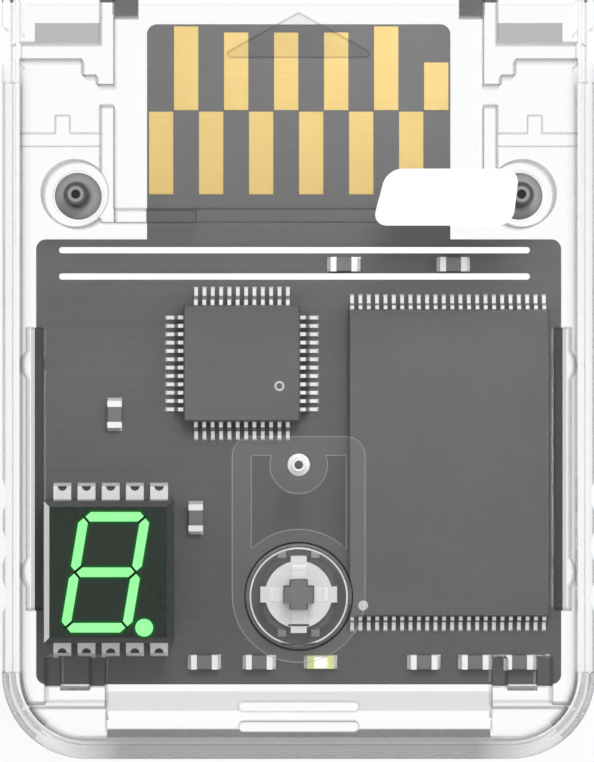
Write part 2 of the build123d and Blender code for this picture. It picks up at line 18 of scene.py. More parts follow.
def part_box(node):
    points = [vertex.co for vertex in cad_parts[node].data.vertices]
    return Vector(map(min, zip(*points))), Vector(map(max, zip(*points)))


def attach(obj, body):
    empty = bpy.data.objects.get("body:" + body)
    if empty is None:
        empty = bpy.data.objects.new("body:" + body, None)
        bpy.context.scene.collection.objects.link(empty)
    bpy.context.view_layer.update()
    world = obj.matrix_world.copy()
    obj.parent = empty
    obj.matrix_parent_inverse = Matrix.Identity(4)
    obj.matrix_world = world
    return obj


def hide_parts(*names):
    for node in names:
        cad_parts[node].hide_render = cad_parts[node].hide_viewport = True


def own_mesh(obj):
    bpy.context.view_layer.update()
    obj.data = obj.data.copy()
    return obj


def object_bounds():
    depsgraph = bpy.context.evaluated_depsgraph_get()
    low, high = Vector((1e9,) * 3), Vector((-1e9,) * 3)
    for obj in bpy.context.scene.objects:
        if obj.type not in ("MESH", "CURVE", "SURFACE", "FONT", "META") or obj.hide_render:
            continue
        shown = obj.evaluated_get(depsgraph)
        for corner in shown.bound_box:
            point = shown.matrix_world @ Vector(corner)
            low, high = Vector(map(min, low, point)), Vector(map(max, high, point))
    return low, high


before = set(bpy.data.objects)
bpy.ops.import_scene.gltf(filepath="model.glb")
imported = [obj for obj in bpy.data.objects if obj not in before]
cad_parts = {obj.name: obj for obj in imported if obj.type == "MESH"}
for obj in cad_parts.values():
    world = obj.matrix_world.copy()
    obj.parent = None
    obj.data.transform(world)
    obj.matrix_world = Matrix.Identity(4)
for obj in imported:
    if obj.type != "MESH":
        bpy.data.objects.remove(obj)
CAD_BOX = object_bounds()

LOG = logging.getLogger("memory_card")
MM = 0.001
WELD, FINE_WELD = 1e-7, 1e-8
UPRIGHT = (0.0, 0.0, 1.0)
WHITE = (1.0, 1.0, 1.0, 1.0)
Box = tuple[Vector, Vector]
Colour = tuple[float, float, float]
Pair = tuple[float, float]
Pairs = tuple[Pair, ...]
Form = bmesh.types.BMesh
Node = bpy.types.Node
Socket = bpy.types.NodeSocket
Value = float | Socket
Tone = Colour | Socket


class Slot(str, Enum):
    """Material slots named in the record; no piece in this script takes them."""

    CASE = "clear_case"
    RIVET = "rivet_metal"
    SCREW = "screw_metal"
    RESIN = "chip_resin"
    TIN = "tinned_leads"
    DISPLAY = "display_body"
    PINS = "display_pins"
    STEEL = "switch_steel"


class Body(str, Enum):
    """Body that the added pieces ride on."""

    CARD = "card"


class Side(Enum):
    """Way that a lead or an end cap points, seen from the front."""

    UP = (0.0, 1.0)
    DOWN = (0.0, -1.0)
    LEFT = (-1.0, 0.0)
    RIGHT = (1.0, 0.0)

    @property
    def way(self) -> Vector:
        """The side as a direction."""
        return Vector((self.value[0], self.value[1], 0.0))

    @property
    def across(self) -> Vector:
        """The direction a quarter turn from the side."""
        return Vector((-self.value[1], self.value[0], 0.0))


# ---------------------------------------------------------------- node graphs


class Graph:
    """A node tree with short calls for adding and joining nodes."""

    def __init__(self, tree: bpy.types.NodeTree) -> None:
        """Keeps the tree and empties it."""
        self.tree = tree
        tree.nodes.clear()

    def add(self, kind: str, inputs: dict | None = None, **settings: object) -> Node:
        """Adds one node.

        Args:
            kind: Blender's class name of the node.
            inputs: socket name to a value, or to an output socket to join.
            settings: properties of the node.

        Returns:
            The new node.
        """
        node = self.tree.nodes.new(kind)
        for name, value in settings.items():
            setattr(node, name, value)
        for name, value in (inputs or {}).items():
            if isinstance(value, Socket):
                self.tree.links.new(value, node.inputs[name])
            else:
                node.inputs[name].default_value = value
        return node

    def maths(self, operation: str, *values: Value) -> Socket:
        """Joins one Math node.

        Args:
            operation: name of the sum.
            values: numbers or sockets, in the order of the node's inputs.

        Returns:
            The result socket.
        """
        return self.add("ShaderNodeMath", dict(enumerate(values)), operation=operation).outputs[0]

    def product(self, *factors: Value) -> Socket:
        """Multiplies two or more numbers or sockets."""
        return functools.reduce(lambda one, other: self.maths("MULTIPLY", one, other), factors)

    def place(self) -> Node:
        """Splits the Object coordinates of a point into X, Y and Z."""
        return self.add("ShaderNodeSeparateXYZ",
                        {0: self.add("ShaderNodeTexCoord").outputs["Object"]})

    def slope(self) -> Node:
        """Splits the normal of a face into X, Y and Z."""
        return self.add("ShaderNodeSeparateXYZ",
                        {0: self.add("ShaderNodeNewGeometry").outputs["Normal"]})

    def away(self, x: Value, y: Value, centre: Pair = (0.0, 0.0)) -> Socket:
        """Gives the distance of a point from a centre, seen from above."""
        spot = self.add("ShaderNodeCombineXYZ", {"X": x, "Y": y})
        return self.add("ShaderNodeVectorMath", {0: spot.outputs[0], 1: (*centre, 0.0)},
                        operation="DISTANCE").outputs["Value"]

    def grain(self, scale: float, patch_scale: float) -> Node:
        """Adds the shared mottle, with the scale of its grains and of its patches."""
        return self.add("ShaderNodeGroup", {"Scale": scale, "Patch Scale": patch_scale},
                        node_tree=NodeGroups.grain())

    def bump(self, strength: float, depth: float, height: Socket) -> Socket:
        """Bends the normal by a height."""
        return self.add("ShaderNodeBump", {"Strength": strength, "Distance": depth,
                                           "Height": height}).outputs[0]

    def mix(self, factor: Socket, first: Node, second: Node) -> Node:
        """Mixes two shaders by a factor."""
        return self.add("ShaderNodeMixShader", {0: factor, 1: first.outputs[0],
                                                2: second.outputs[0]})

    def surface(self, shader: Node) -> None:
        """Joins the last shader to the material's output."""
        self.add("ShaderNodeOutputMaterial", {"Surface": shader.outputs[0]})

    def between(self, value: Socket, low: float, high: float) -> Socket:
        """Gives 1 where a value lies between two bounds, and 0 elsewhere."""
        return self.maths("COMPARE", value, (low + high) / 2, (high - low) / 2)

    def spread(self, value: Value, low: float, high: float, start: float = 0.0, end: float = 1.0,
               smooth: bool = False) -> Socket:
        """Maps a value from start..end to low..high.

        Args:
            value: socket to map.
            low: result at start.
            high: result at end.
            start: where the range begins.
            end: where the range ends.
            smooth: eases both ends.

        Returns:
            The result socket.
        """
        kind = "SMOOTHSTEP" if smooth else "LINEAR"
        node = self.add("ShaderNodeMapRange", {"Value": value, "From Min": start, "From Max": end,
                                               "To Min": low, "To Max": high},
                        interpolation_type=kind, clamp=True)
        return node.outputs[0]

    def blend(self, factor: Value, dark: Tone, light: Tone) -> Socket:
        """Runs from one colour to another by a factor socket.

        Args:
            factor: socket from 0 to 1.
            dark: colour, or colour socket, at 0.
            light: colour, or colour socket, at 1.

        Returns:
            The mixed colour.
        """
        ends = {0: factor}
        for place, colour in ((6, dark), (7, light)):
            ends[place] = colour if isinstance(colour, Socket) else (*colour, 1.0)
        return self.add("ShaderNodeMix", ends, data_type="RGBA").outputs[2]

    def ramp(self, value: Socket, reach: float,
             stops: Pairs) -> Socket:
        """Reads a grey tone from a row of stops.

        Args:
            value: what is read, from 0 to the reach.
            reach: value at the row's end.
            stops: pairs of a value and the tone there.

        Returns:
            The tone's colour socket.
        """
        row = self.add("ShaderNodeValToRGB", {0: self.spread(value, 0.0, 1.0, 0.0, reach)})
        places = row.color_ramp.elements
        while len(places) < len(stops):
            places.new(1.0)
        for place, (at, tone) in zip(places, stops):
            place.position, place.color = at / reach, (tone, tone, tone, 1.0)
        return row.outputs[0]


class NodeGroups:
    """Effects that several finishes share, each built once."""

    @staticmethod
    def open(name: str, inputs: dict[str, float], outputs: list[str]) -> tuple[Graph, dict] | None:
        """Starts a group, or gives None if it is there already.

        Args:
            name: name of the group.
            inputs: input sockets with their first values.
            outputs: output sockets.

        Returns:
            The graph with its input sockets, or None.
        """
        if name in bpy.data.node_groups:
            return None
        tree = bpy.data.node_groups.new(name, "ShaderNodeTree")
        for label, value in inputs.items():
            socket = tree.interface.new_socket(label, in_out="INPUT", socket_type="NodeSocketFloat")
            socket.default_value = value
        for label in outputs:
            tree.interface.new_socket(label, in_out="OUTPUT", socket_type="NodeSocketFloat")
        graph = Graph(tree)
        start = graph.add("NodeGroupInput")
        return graph, {label: start.outputs[label] for label in inputs}

    @classmethod
    def grain(cls) -> bpy.types.NodeTree:
        """Fine mottle of a moulded, etched or plated surface: Tone from 0 to 1 and Height."""
        opened = cls.open("fine_grain", {"Scale": 2500.0, "Patch Scale": 300.0}, ["Tone", "Height"])
        if opened:
            graph, given = opened
            place = graph.add("ShaderNodeTexCoord").outputs["Object"]
            fine = graph.add("ShaderNodeTexNoise", {"Vector": place, "Scale": given["Scale"],
                                                    "Detail": 3.0, "Roughness": 0.6})
            patch = graph.add("ShaderNodeTexNoise", {"Vector": place, "Scale": given["Patch Scale"],
                                                     "Detail": 2.0, "Roughness": 0.5})
            both = graph.maths("ADD", graph.maths("MULTIPLY", fine.outputs[0], 0.55),
                               graph.maths("MULTIPLY", patch.outputs[0], 0.45))
            end = graph.add("NodeGroupOutput")
            graph.tree.links.new(graph.spread(both, 0.0, 1.0, 0.3, 0.7), end.inputs["Tone"])
            graph.tree.links.new(fine.outputs[0], end.inputs["Height"])
        return bpy.data.node_groups["fine_grain"]

    @classmethod
    def drawn(cls) -> bpy.types.NodeTree:
        """Fine lines left by rolling, drawing or a mould tool: Lines from 0 to 1."""
        opened = cls.open("drawn_lines", {"Along X": 300.0, "Along Y": 9000.0, "Along Z": 9000.0},
                          ["Lines"])
        if opened:
            graph, given = opened
            place = graph.add("ShaderNodeTexCoord").outputs["Object"]
            axes = graph.add("ShaderNodeSeparateXYZ", {0: place})
            stretched = graph.add("ShaderNodeCombineXYZ", {
                "X": graph.maths("MULTIPLY", axes.outputs["X"], given["Along X"]),
                "Y": graph.maths("MULTIPLY", axes.outputs["Y"], given["Along Y"]),
                "Z": graph.maths("MULTIPLY", axes.outputs["Z"], given["Along Z"])})
            lines = graph.add("ShaderNodeTexNoise", {"Vector": stretched.outputs[0], "Scale": 1.0,
                                                     "Detail": 2.0})
            end = graph.add("NodeGroupOutput")
            graph.tree.links.new(graph.spread(lines.outputs[0], 0.0, 1.0, 0.3, 0.7),
                                 end.inputs["Lines"])
        return bpy.data.node_groups["drawn_lines"]


def open_material(name: str) -> tuple[bpy.types.Material, Graph]:
    """Starts an empty material.

    Args:
        name: name of the finish.

    Returns:
        The material and its graph.
    """
    material = bpy.data.materials.new(name)
    material.use_nodes = True
    return material, Graph(material.node_tree)


# ---------------------------------------------------------------- finishes


@dataclass(frozen=True)
class ShadeZone:
    """Box of a clear moulding whose tone is darkened there as painted shade, the same on both sides of
    the card.
    """

    across: Pair
    along: Pair
    rise: Pair
    amount: float

    def mask(self, graph: Graph, place: Node) -> Socket:
        """Marks the zone.

        Args:
            graph: graph of the material.
            place: node that gives the X, Y and Z of a point.

        Returns:
            The amount inside the zone and 0 outside.
        """
        return graph.product(
            graph.between(graph.maths("ABSOLUTE", place.outputs["X"]), *self.across),
            graph.between(place.outputs["Y"], *self.along),
            graph.between(place.outputs["Z"], *self.rise), self.amount)


@dataclass(frozen=True)
class ShadeRing:
    """Round dark line painted on a clear moulding as shade along an edge, the same on both sides of the
    card.
    """

    centre: Pair
    radii: Pair
    above: float
    amount: float

    def mask(self, graph: Graph, place: Node) -> Socket:
        """Marks the ring; takes and gives what a zone's mask does."""
        away = graph.away(graph.maths("ABSOLUTE", place.outputs["X"]), place.outputs["Y"],
                          self.centre)
        over = graph.maths("GREATER_THAN", place.outputs["Z"], self.above)
        return graph.product(graph.between(away, *self.radii), over, self.amount)


@dataclass(frozen=True)
class ClearPlastic:
    """Clear moulded plastic; edges, inner walls and a few faces are darkened by painted shade."""

    name: str
    tint: Colour = (1.0, 1.0, 1.0)
    ior: float = 1.49
    gleam: float = 0.3
    polish: Pair = (0.015, 0.05)
    mottle: Pair = (1800.0, 120.0)
    relief: Pair = (0.02, 0.02 * MM)
    zones: tuple[ShadeZone | ShadeRing, ...] = ()
    inner_half: Pair = (16.7 * MM, 20.9 * MM)
    edge_radius: float = 0.17 * MM
    edge_samples: int = 2
    edge_turn: Pair = (0.8, 0.995)
    painted_shade_tone: Colour = (0.03, 0.03, 0.03)
    edge_shade: float = 0.9
    rim_edge_shade: float = 0.14
    shade_above: float = -1.0 * MM
    edge_painted_glow: float = 0.0
    fill_painted_glow: float = 0.0
    spared: tuple[float, float, float] = (0.0, 0.0, 0.0)
    rim: tuple[float, float, float] = (-22.5 * MM, -21.1 * MM, 0.0)
    rim_inner: float = 0.93
    rim_corner: tuple[float, float, float] = (0.2, 10.5 * MM, 16.0 * MM)
    rim_above: float = 6.5 * MM
    outline: tuple[float, float, float] = (12.5 * MM, 17.5 * MM, 5.0 * MM)
    walls: Pairs = ()
    low_walls: Pairs = ()
    walls_depth: float = 2.0 * MM
    walls_above: float = 6.8 * MM
    walls_end: Pair = (17.0 * MM, 19.0 * MM)
    low_walls_end: Pair = (-20.0 * MM, -14.0 * MM)
    wall_line: float = 0.75
    wall_slope: Pair = (0.2, 0.5)
    wall_shade_tone: Colour = (0.3, 0.3, 0.3)
    wall_half: Pair = (16.5 * MM, 20.6 * MM)
    wall_fade: tuple[float, float, float, float] = (0.2, 1.0, 2.4 * MM, 6.3 * MM)
    most_turns: float = 2.5
    shade: Colour = (0.985, 0.986, 0.986)
    slant_shade: Colour = (0.75, 0.75, 0.75)

    def make(self) -> bpy.types.Material:
        """Builds the material; lamps and soft light pass straight through it."""
        material, graph = open_material(self.name)
        grain = graph.grain(*self.mottle)
        place = graph.place()
        flat = graph.add("ShaderNodeNewGeometry").outputs["Normal"]
        above = graph.maths("GREATER_THAN", place.outputs["Z"], self.shade_above)
        marks = [zone.mask(graph, place) for zone in self.zones]
        # Painted shade: edges, zones, rings, the lower rim and the walls seen end-on darken the light
        # that passes, through the base colour.
        if self.edge_radius:
            edge = self.edges(graph, flat, place)
            inner = self.inside(graph, place, self.inner_half)
            marks.append(graph.product(
                edge, above, graph.spread(inner, self.rim_edge_shade, self.edge_shade)))
        if self.rim[2]:
            marks.append(self.lower_rim(graph, place))
        if self.walls:
            marks.append(self.end_on_walls(graph, place))
        painted_shade = functools.reduce(lambda one, other: graph.maths("MAXIMUM", one, other), marks)
        clear = graph.add("ShaderNodeBsdfPrincipled", {
            "Base Color": graph.blend(painted_shade, self.tint, self.painted_shade_tone), "IOR": self.ior,
            "Transmission Weight": 1.0, "Metallic": 0.0, "Specular Tint": (*(self.gleam,) * 3, 1.0),
            "Roughness": graph.spread(grain.outputs["Tone"], *self.polish),
            "Normal": graph.bump(*self.relief, grain.outputs["Height"])})
        # Painted light: the button glows faintly all over and more along its edges low in the card, as
        # stand-in highlights.
        if self.edge_painted_glow:
            lit = graph.product(edge, graph.maths("SUBTRACT", 1.0, above))
            glow = graph.blend(lit, (self.fill_painted_glow,) * 3, (self.edge_painted_glow,) * 3)
            graph.tree.links.new(glow, clear.inputs["Emission Color"])
            clear.inputs["Emission Strength"].default_value = 1.0
        slant = graph.add("ShaderNodeLayerWeight", {"Blend": 0.5})
        open_way = graph.add("ShaderNodeBsdfTransparent", {
            "Color": graph.blend(slant.outputs["Facing"], self.shade, self.slant_shade)})
        seen = self.dim_walls(graph, flat, place, clear) if self.wall_line else clear
        path = graph.add("ShaderNodeLightPath")
        lets_by = graph.maths("MAXIMUM", path.outputs["Is Shadow Ray"],
                              path.outputs["Is Diffuse Ray"])
        trapped = graph.maths("GREATER_THAN", path.outputs["Glossy Depth"], self.most_turns)
        freed = graph.add("ShaderNodeBsdfTransparent", {"Color": WHITE})
        graph.surface(graph.mix(trapped, graph.mix(lets_by, seen, open_way), freed))
        return material

    def dim_walls(self, graph: Graph, flat: Socket, place: Node, clear: Node) -> Node:
        """Darkens the upright inner walls with painted shade, less so low in the card.

        Args:
            graph: graph of the material.
            flat: normal of the face.
            place: node that gives the X, Y and Z of a point.
            clear: shader of the plastic.

        Returns:
            The shader with the walls' painted shade.
        """
        rise = graph.add("ShaderNodeSeparateXYZ", {0: flat}).outputs["Z"]
        wall = graph.spread(graph.maths("ABSOLUTE", rise), self.wall_line, 0.0, *self.wall_slope)
        wall = graph.product(wall, self.inside(graph, place, self.wall_half),
                             graph.spread(place.outputs["Z"], *self.wall_fade))
        dim = graph.add("ShaderNodeBsdfTransparent", {"Color": (*self.wall_shade_tone, 1.0)})
        return graph.mix(wall, clear, dim)

    def end_on_walls(self, graph: Graph, place: Node) -> Socket:
        """Marks painted shade on the front face over the outer walls, as soft grey lines where the
        walls are seen end-on.

        Args:
            graph: graph of the material.
            place: node that gives the X, Y and Z of a point.

        Returns:
            The painted shade, which follows the card's rounded outline and is stronger at the lower
            end.
        """
        across = graph.maths("ABSOLUTE", place.outputs["X"])
        side = graph.maths("SUBTRACT", across, self.outline[0])
        end = graph.maths("SUBTRACT", graph.product(place.outputs["Y"], -1.0), self.outline[1])
        bend = graph.away(graph.maths("MAXIMUM", side, 0.0), graph.maths("MAXIMUM", end, 0.0))
        straight = graph.maths("MINIMUM", graph.maths("MAXIMUM", side, end), 0.0)
        depth = graph.maths("SUBTRACT", self.outline[2], graph.maths("ADD", bend, straight))
        line = graph.ramp(depth, self.walls_depth, self.walls)
        low = graph.product(graph.spread(place.outputs["Y"], 1.0, 0.0, *self.low_walls_end),
                            graph.ramp(depth, self.walls_depth, self.low_walls))
        front = graph.maths("GREATER_THAN", place.outputs["Z"], self.walls_above)
        upper = graph.spread(place.outputs["Y"], 1.0, 0.0, *self.walls_end)
        return graph.product(graph.maths("MAXIMUM", line, low), front, upper)

    def edges(self, graph: Graph, flat: Socket, place: Node) -> Socket:
        """Marks the sharp edges for painted shade, but not those close round the spared point.

        Args:
            graph: graph of the material.
            flat: normal of the face.
            place: node that gives the X, Y and Z of a point.

        Returns:
            1 on an edge and 0 away from it.
        """
        soft = graph.add("ShaderNodeBevel", {"Radius": self.edge_radius}, samples=self.edge_samples)
        turn = graph.add("ShaderNodeVectorMath", {0: soft.outputs[0], 1: flat},
                         operation="DOT_PRODUCT")
        edge = graph.spread(turn.outputs["Value"], 1.0, 0.0, *self.edge_turn)
        if not self.spared[2]:
            return edge
        away = graph.away(place.outputs["X"], place.outputs["Y"], self.spared[:2])
        return graph.product(edge, graph.maths("GREATER_THAN", away, self.spared[2]))

    def inside(self, graph: Graph, place: Node, half: Pair) -> Socket:
        """Gives 1 within two half sizes, away from the outer rim, and 0 on the rim."""
        side = graph.maths("LESS_THAN", graph.maths("ABSOLUTE", place.outputs["X"]), half[0])
        return graph.product(side, graph.maths("GREATER_THAN", place.outputs["Y"], -half[1]))

    def lower_rim(self, graph: Graph, place: Node) -> Socket:
        """Marks painted shade on the front face's rim at the card's lower end, growing towards the end.

        Args:
            graph: graph of the material.
            place: node that gives the X, Y and Z of a point.

        Returns:
            The rim's painted shade.
        """
        start, stop, amount = self.rim
        end = graph.spread(place.outputs["Y"], amount, self.rim_inner * amount, start, stop)
        corner = graph.spread(graph.maths("ABSOLUTE", place.outputs["X"]), 1.0, *self.rim_corner)
        beyond = graph.maths("LESS_THAN", place.outputs["Y"], stop)
        front = graph.maths("GREATER_THAN", place.outputs["Z"], self.rim_above)
        return graph.product(end, corner, beyond, front)


@dataclass(frozen=True)
class Metal:
    """Plated, rolled or turned metal."""

    name: str
    dark: Colour
    light: Colour
    polish: Pair = (0.25, 0.42)
    lines: tuple[float, float, float] = (300.0, 9000.0, 9000.0)
    relief: float = 0.15
    metallic: float = 1.0
    slope_shade: float = 0.0
    slope_shade_tone: Colour = (0.06, 0.06, 0.06)
    slope_shade_rise: Pair = (0.75, 0.97)
    mottle: Pair = (6000.0, 900.0)
    shares: Pair = (0.6, 0.4)
    depth: float = 0.01 * MM

    def make(self) -> bpy.types.Material:
        """Builds the material."""
        material, graph = open_material(self.name)
        grain = graph.grain(*self.mottle)
        drawn = graph.add("ShaderNodeGroup",
                          dict(zip(("Along X", "Along Y", "Along Z"), self.lines)),
                          node_tree=NodeGroups.drawn())
        tone = graph.maths("ADD", graph.product(grain.outputs["Tone"], self.shares[0]),
                           graph.product(drawn.outputs["Lines"], self.shares[1]))
        colour = graph.blend(tone, self.dark, self.light)
        # Painted shade: faces that slope away from the front are darkened, as a lead's bend looks in
        # the light.
        if self.slope_shade:
            slope = graph.spread(graph.slope().outputs["Z"], self.slope_shade, 0.0,
                                 *self.slope_shade_rise)
            colour = graph.blend(slope, colour, self.slope_shade_tone)
        graph.surface(graph.add("ShaderNodeBsdfPrincipled", {
            "Base Color": colour, "Metallic": self.metallic,
            "Roughness": graph.spread(tone, *self.polish),
            "Normal": graph.bump(self.relief, self.depth, tone)}))
        return material


@dataclass(frozen=True)
class Moulding:
    """Opaque moulded resin or plastic with a fine spark-eroded grain."""

    name: str
    dark: Colour
    light: Colour
    polish: Pair = (0.42, 0.6)
    scale: float = 3500.0
    relief: float = 0.25
    sheen: float = 0.5
    patch_share: float = 0.08
    depth: float = 0.015 * MM

    def make(self) -> bpy.types.Material:
        """Builds the material."""
        material, graph = open_material(self.name)
        grain = graph.grain(self.scale, self.scale * self.patch_share)
        graph.surface(graph.add("ShaderNodeBsdfPrincipled", {
            "Base Color": graph.blend(grain.outputs["Tone"], self.dark, self.light),
            "Roughness": graph.spread(grain.outputs["Tone"], *self.polish),
            "Specular IOR Level": self.sheen,
            "Normal": graph.bump(self.relief, self.depth, grain.outputs["Height"])}))
        return material


@dataclass(frozen=True)
class TurnedScrew:
    """Dark turned steel, with rings of painted light and shade for a screw's tip, thread and head."""

    centre: Pair
    name: str = "turned_steel"
    shade_rings: Pairs = (
        (0.0, 0.002), (0.25 * MM, 0.002), (0.31 * MM, 0.3), (0.43 * MM, 0.3), (0.51 * MM, 0.06),
        (0.63 * MM, 0.06), (0.71 * MM, 0.26), (1.0 * MM, 0.36), (1.2 * MM, 0.3), (1.39 * MM, 0.2))
    reach: float = 1.5 * MM
    polish: Pair = (0.3, 0.5)
    mottle: Pair = (5000.0, 1200.0)
    relief: Pair = (0.2, 0.01 * MM)
    wear: float = 0.05
    worn_tone: Colour = (0.2, 0.2, 0.19)
    metallic: float = 0.1
    sheen: float = 0.2

    def make(self) -> bpy.types.Material:
        """Builds the material; both screws share it, mirrored across the card's middle."""
        material, graph = open_material(self.name)
        place = graph.place()
        away = graph.away(graph.maths("ABSOLUTE", place.outputs["X"]), place.outputs["Y"],
                          self.centre)
        # Painted light and shade: the tone is read from rings round the screw's axis.
        turned = graph.ramp(away, self.reach, self.shade_rings)
        grain = graph.grain(*self.mottle)
        worn = graph.product(grain.outputs["Tone"], self.wear)
        graph.surface(graph.add("ShaderNodeBsdfPrincipled", {
            "Base Color": graph.blend(worn, turned, self.worn_tone), "Metallic": self.metallic,
            "Specular IOR Level": self.sheen,
            "Roughness": graph.spread(grain.outputs["Tone"], *self.polish),
            "Normal": graph.bump(*self.relief, grain.outputs["Height"])}))
        return material


@dataclass(frozen=True)
class DisplayShell:
    """Dark case of the display: a smoked face, with painted highlights on the slopes round it,
    brightest on the left.
    """

    name: str = "display_shell"
    dark: Colour = (0.019, 0.028, 0.021)
    light: Colour = (0.026, 0.037, 0.028)
    slope_highlight: Colour = (0.045, 0.045, 0.045)
    end_highlight: Colour = (0.07, 0.07, 0.07)
    left_highlight: Colour = (0.7, 0.7, 0.7)
    slope_rise: Pair = (0.3, 0.9)
    lean: float = 0.4
    polish: Pair = (0.22, 0.36)
    mottle: Pair = (2600.0, 220.0)
    relief: Pair = (0.12, 0.015 * MM)
    sheen: float = 0.12

    def make(self) -> bpy.types.Material:
        """Builds the material."""
        material, graph = open_material(self.name)
        grain = graph.grain(*self.mottle)
        way = graph.slope()
        slope = graph.between(way.outputs["Z"], *self.slope_rise)
        left = graph.product(slope, graph.maths("LESS_THAN", way.outputs["X"], -self.lean))
        end = graph.product(slope, graph.maths(
            "GREATER_THAN", graph.maths("ABSOLUTE", way.outputs["Y"]), self.lean))
        colour = graph.blend(grain.outputs["Tone"], self.dark, self.light)
        # Painted highlights: the slopes are lighter than the face, the ends more and the left slope
        # most, as the light falls.
        for mask, tone in ((slope, self.slope_highlight), (end, self.end_highlight), (left, self.left_highlight)):
            colour = graph.blend(mask, colour, tone)
        graph.surface(graph.add("ShaderNodeBsdfPrincipled", {
            "Base Color": colour, "Specular IOR Level": self.sheen,
            "Roughness": graph.spread(grain.outputs["Tone"], *self.polish),
            "Normal": graph.bump(*self.relief, grain.outputs["Height"])}))
        return material


@dataclass(frozen=True)
class SolderMask:
    """Grey lacquer over a board, with the copper below it standing up faintly."""

    name: str = "board_lacquer"
    dark: Colour = (0.096, 0.096, 0.097)
    light: Colour = (0.112, 0.112, 0.113)
    polish: Pair = (0.36, 0.5)
    track_width: float = 0.8 * MM
    track_length: float = 5.6 * MM
    track_gap: float = 0.128 * MM
    shares: Pair = (0.35, 0.65)
    mottle: Pair = (2200.0, 200.0)
    relief: Pair = (0.12, 0.02 * MM)

    def make(self) -> bpy.types.Material:
        """Builds the material; bricks of uneven length stand for runs of copper."""
        material, graph = open_material(self.name)
        runs = graph.add("ShaderNodeTexBrick", {
            "Vector": graph.add("ShaderNodeTexCoord").outputs["Object"], "Color1": WHITE,
            "Color2": (0.8, 0.8, 0.8, 1.0), "Mortar": (0.0, 0.0, 0.0, 1.0), "Scale": 1.0,
            "Mortar Size": self.track_gap, "Mortar Smooth": 0.3, "Brick Width": self.track_length,
            "Row Height": self.track_width}, offset=0.37, squash=1.6, squash_frequency=3)
        grain = graph.grain(*self.mottle)
        tone = graph.maths("ADD", graph.product(runs.outputs["Color"], self.shares[0]),
                           graph.product(grain.outputs["Tone"], self.shares[1]))
        graph.surface(graph.add("ShaderNodeBsdfPrincipled", {
            "Base Color": graph.blend(tone, self.dark, self.light),
            "Roughness": graph.spread(tone, *self.polish),
            "Normal": graph.bump(*self.relief, tone)}))
        return material


@dataclass(frozen=True)
class LitBar:
    """Light bar of the display, brightest in its middle patches."""

    name: str = "lit_segment"
    dark: Colour = (0.26, 0.94, 0.3)
    light: Colour = (0.34, 1.0, 0.38)
    strength: float = 0.9
    lens_dark: Colour = (0.05, 0.12, 0.05)
    lens_light: Colour = (0.07, 0.16, 0.07)
    polish: Pair = (0.25, 0.4)
    mottle: Pair = (2600.0, 700.0)

    def make(self) -> bpy.types.Material:
        """Builds the material."""
        material, graph = open_material(self.name)
        tone = graph.grain(*self.mottle).outputs["Tone"]
        graph.surface(graph.add("ShaderNodeBsdfPrincipled", {
            "Base Color": graph.blend(tone, self.lens_dark, self.lens_light),
            "Roughness": graph.spread(tone, *self.polish),
            "Emission Color": graph.blend(tone, self.dark, self.light),
            "Emission Strength": self.strength}))
        return material


@dataclass(frozen=True)
class LampLens:
    """Milky lens of the indicator lamp with its yellow-green phosphor showing round its middle."""

    name: str = "lamp_lens"
    milk: Colour = (0.93, 0.93, 0.9)
    phosphor: Colour = (0.82, 0.84, 0.45)
    centre: tuple[float, float, float] = (0.0, 0.0, 0.0)
    reach: float = 0.75 * MM
    milk_share: float = 0.45
    strength: float = 0.25
    polish: Pair = (0.14, 0.3)
    mottle: Pair = (2600.0, 500.0)

    def make(self) -> bpy.types.Material:
        """Builds the material."""
        material, graph = open_material(self.name)
        spot = graph.add("ShaderNodeTexCoord").outputs["Object"]
        away = graph.add("ShaderNodeVectorMath", {0: spot, 1: self.centre}, operation="DISTANCE")
        rim = graph.spread(away.outputs["Value"], 0.0, 1.0, self.reach * self.milk_share,
                           self.reach, True)
        colour = graph.blend(rim, self.milk, self.phosphor)
        tone = graph.grain(*self.mottle).outputs["Tone"]
        graph.surface(graph.add("ShaderNodeBsdfPrincipled", {
            "Base Color": colour, "Roughness": graph.spread(tone, *self.polish),
            "Emission Color": colour, "Emission Strength": self.strength}))
        return material


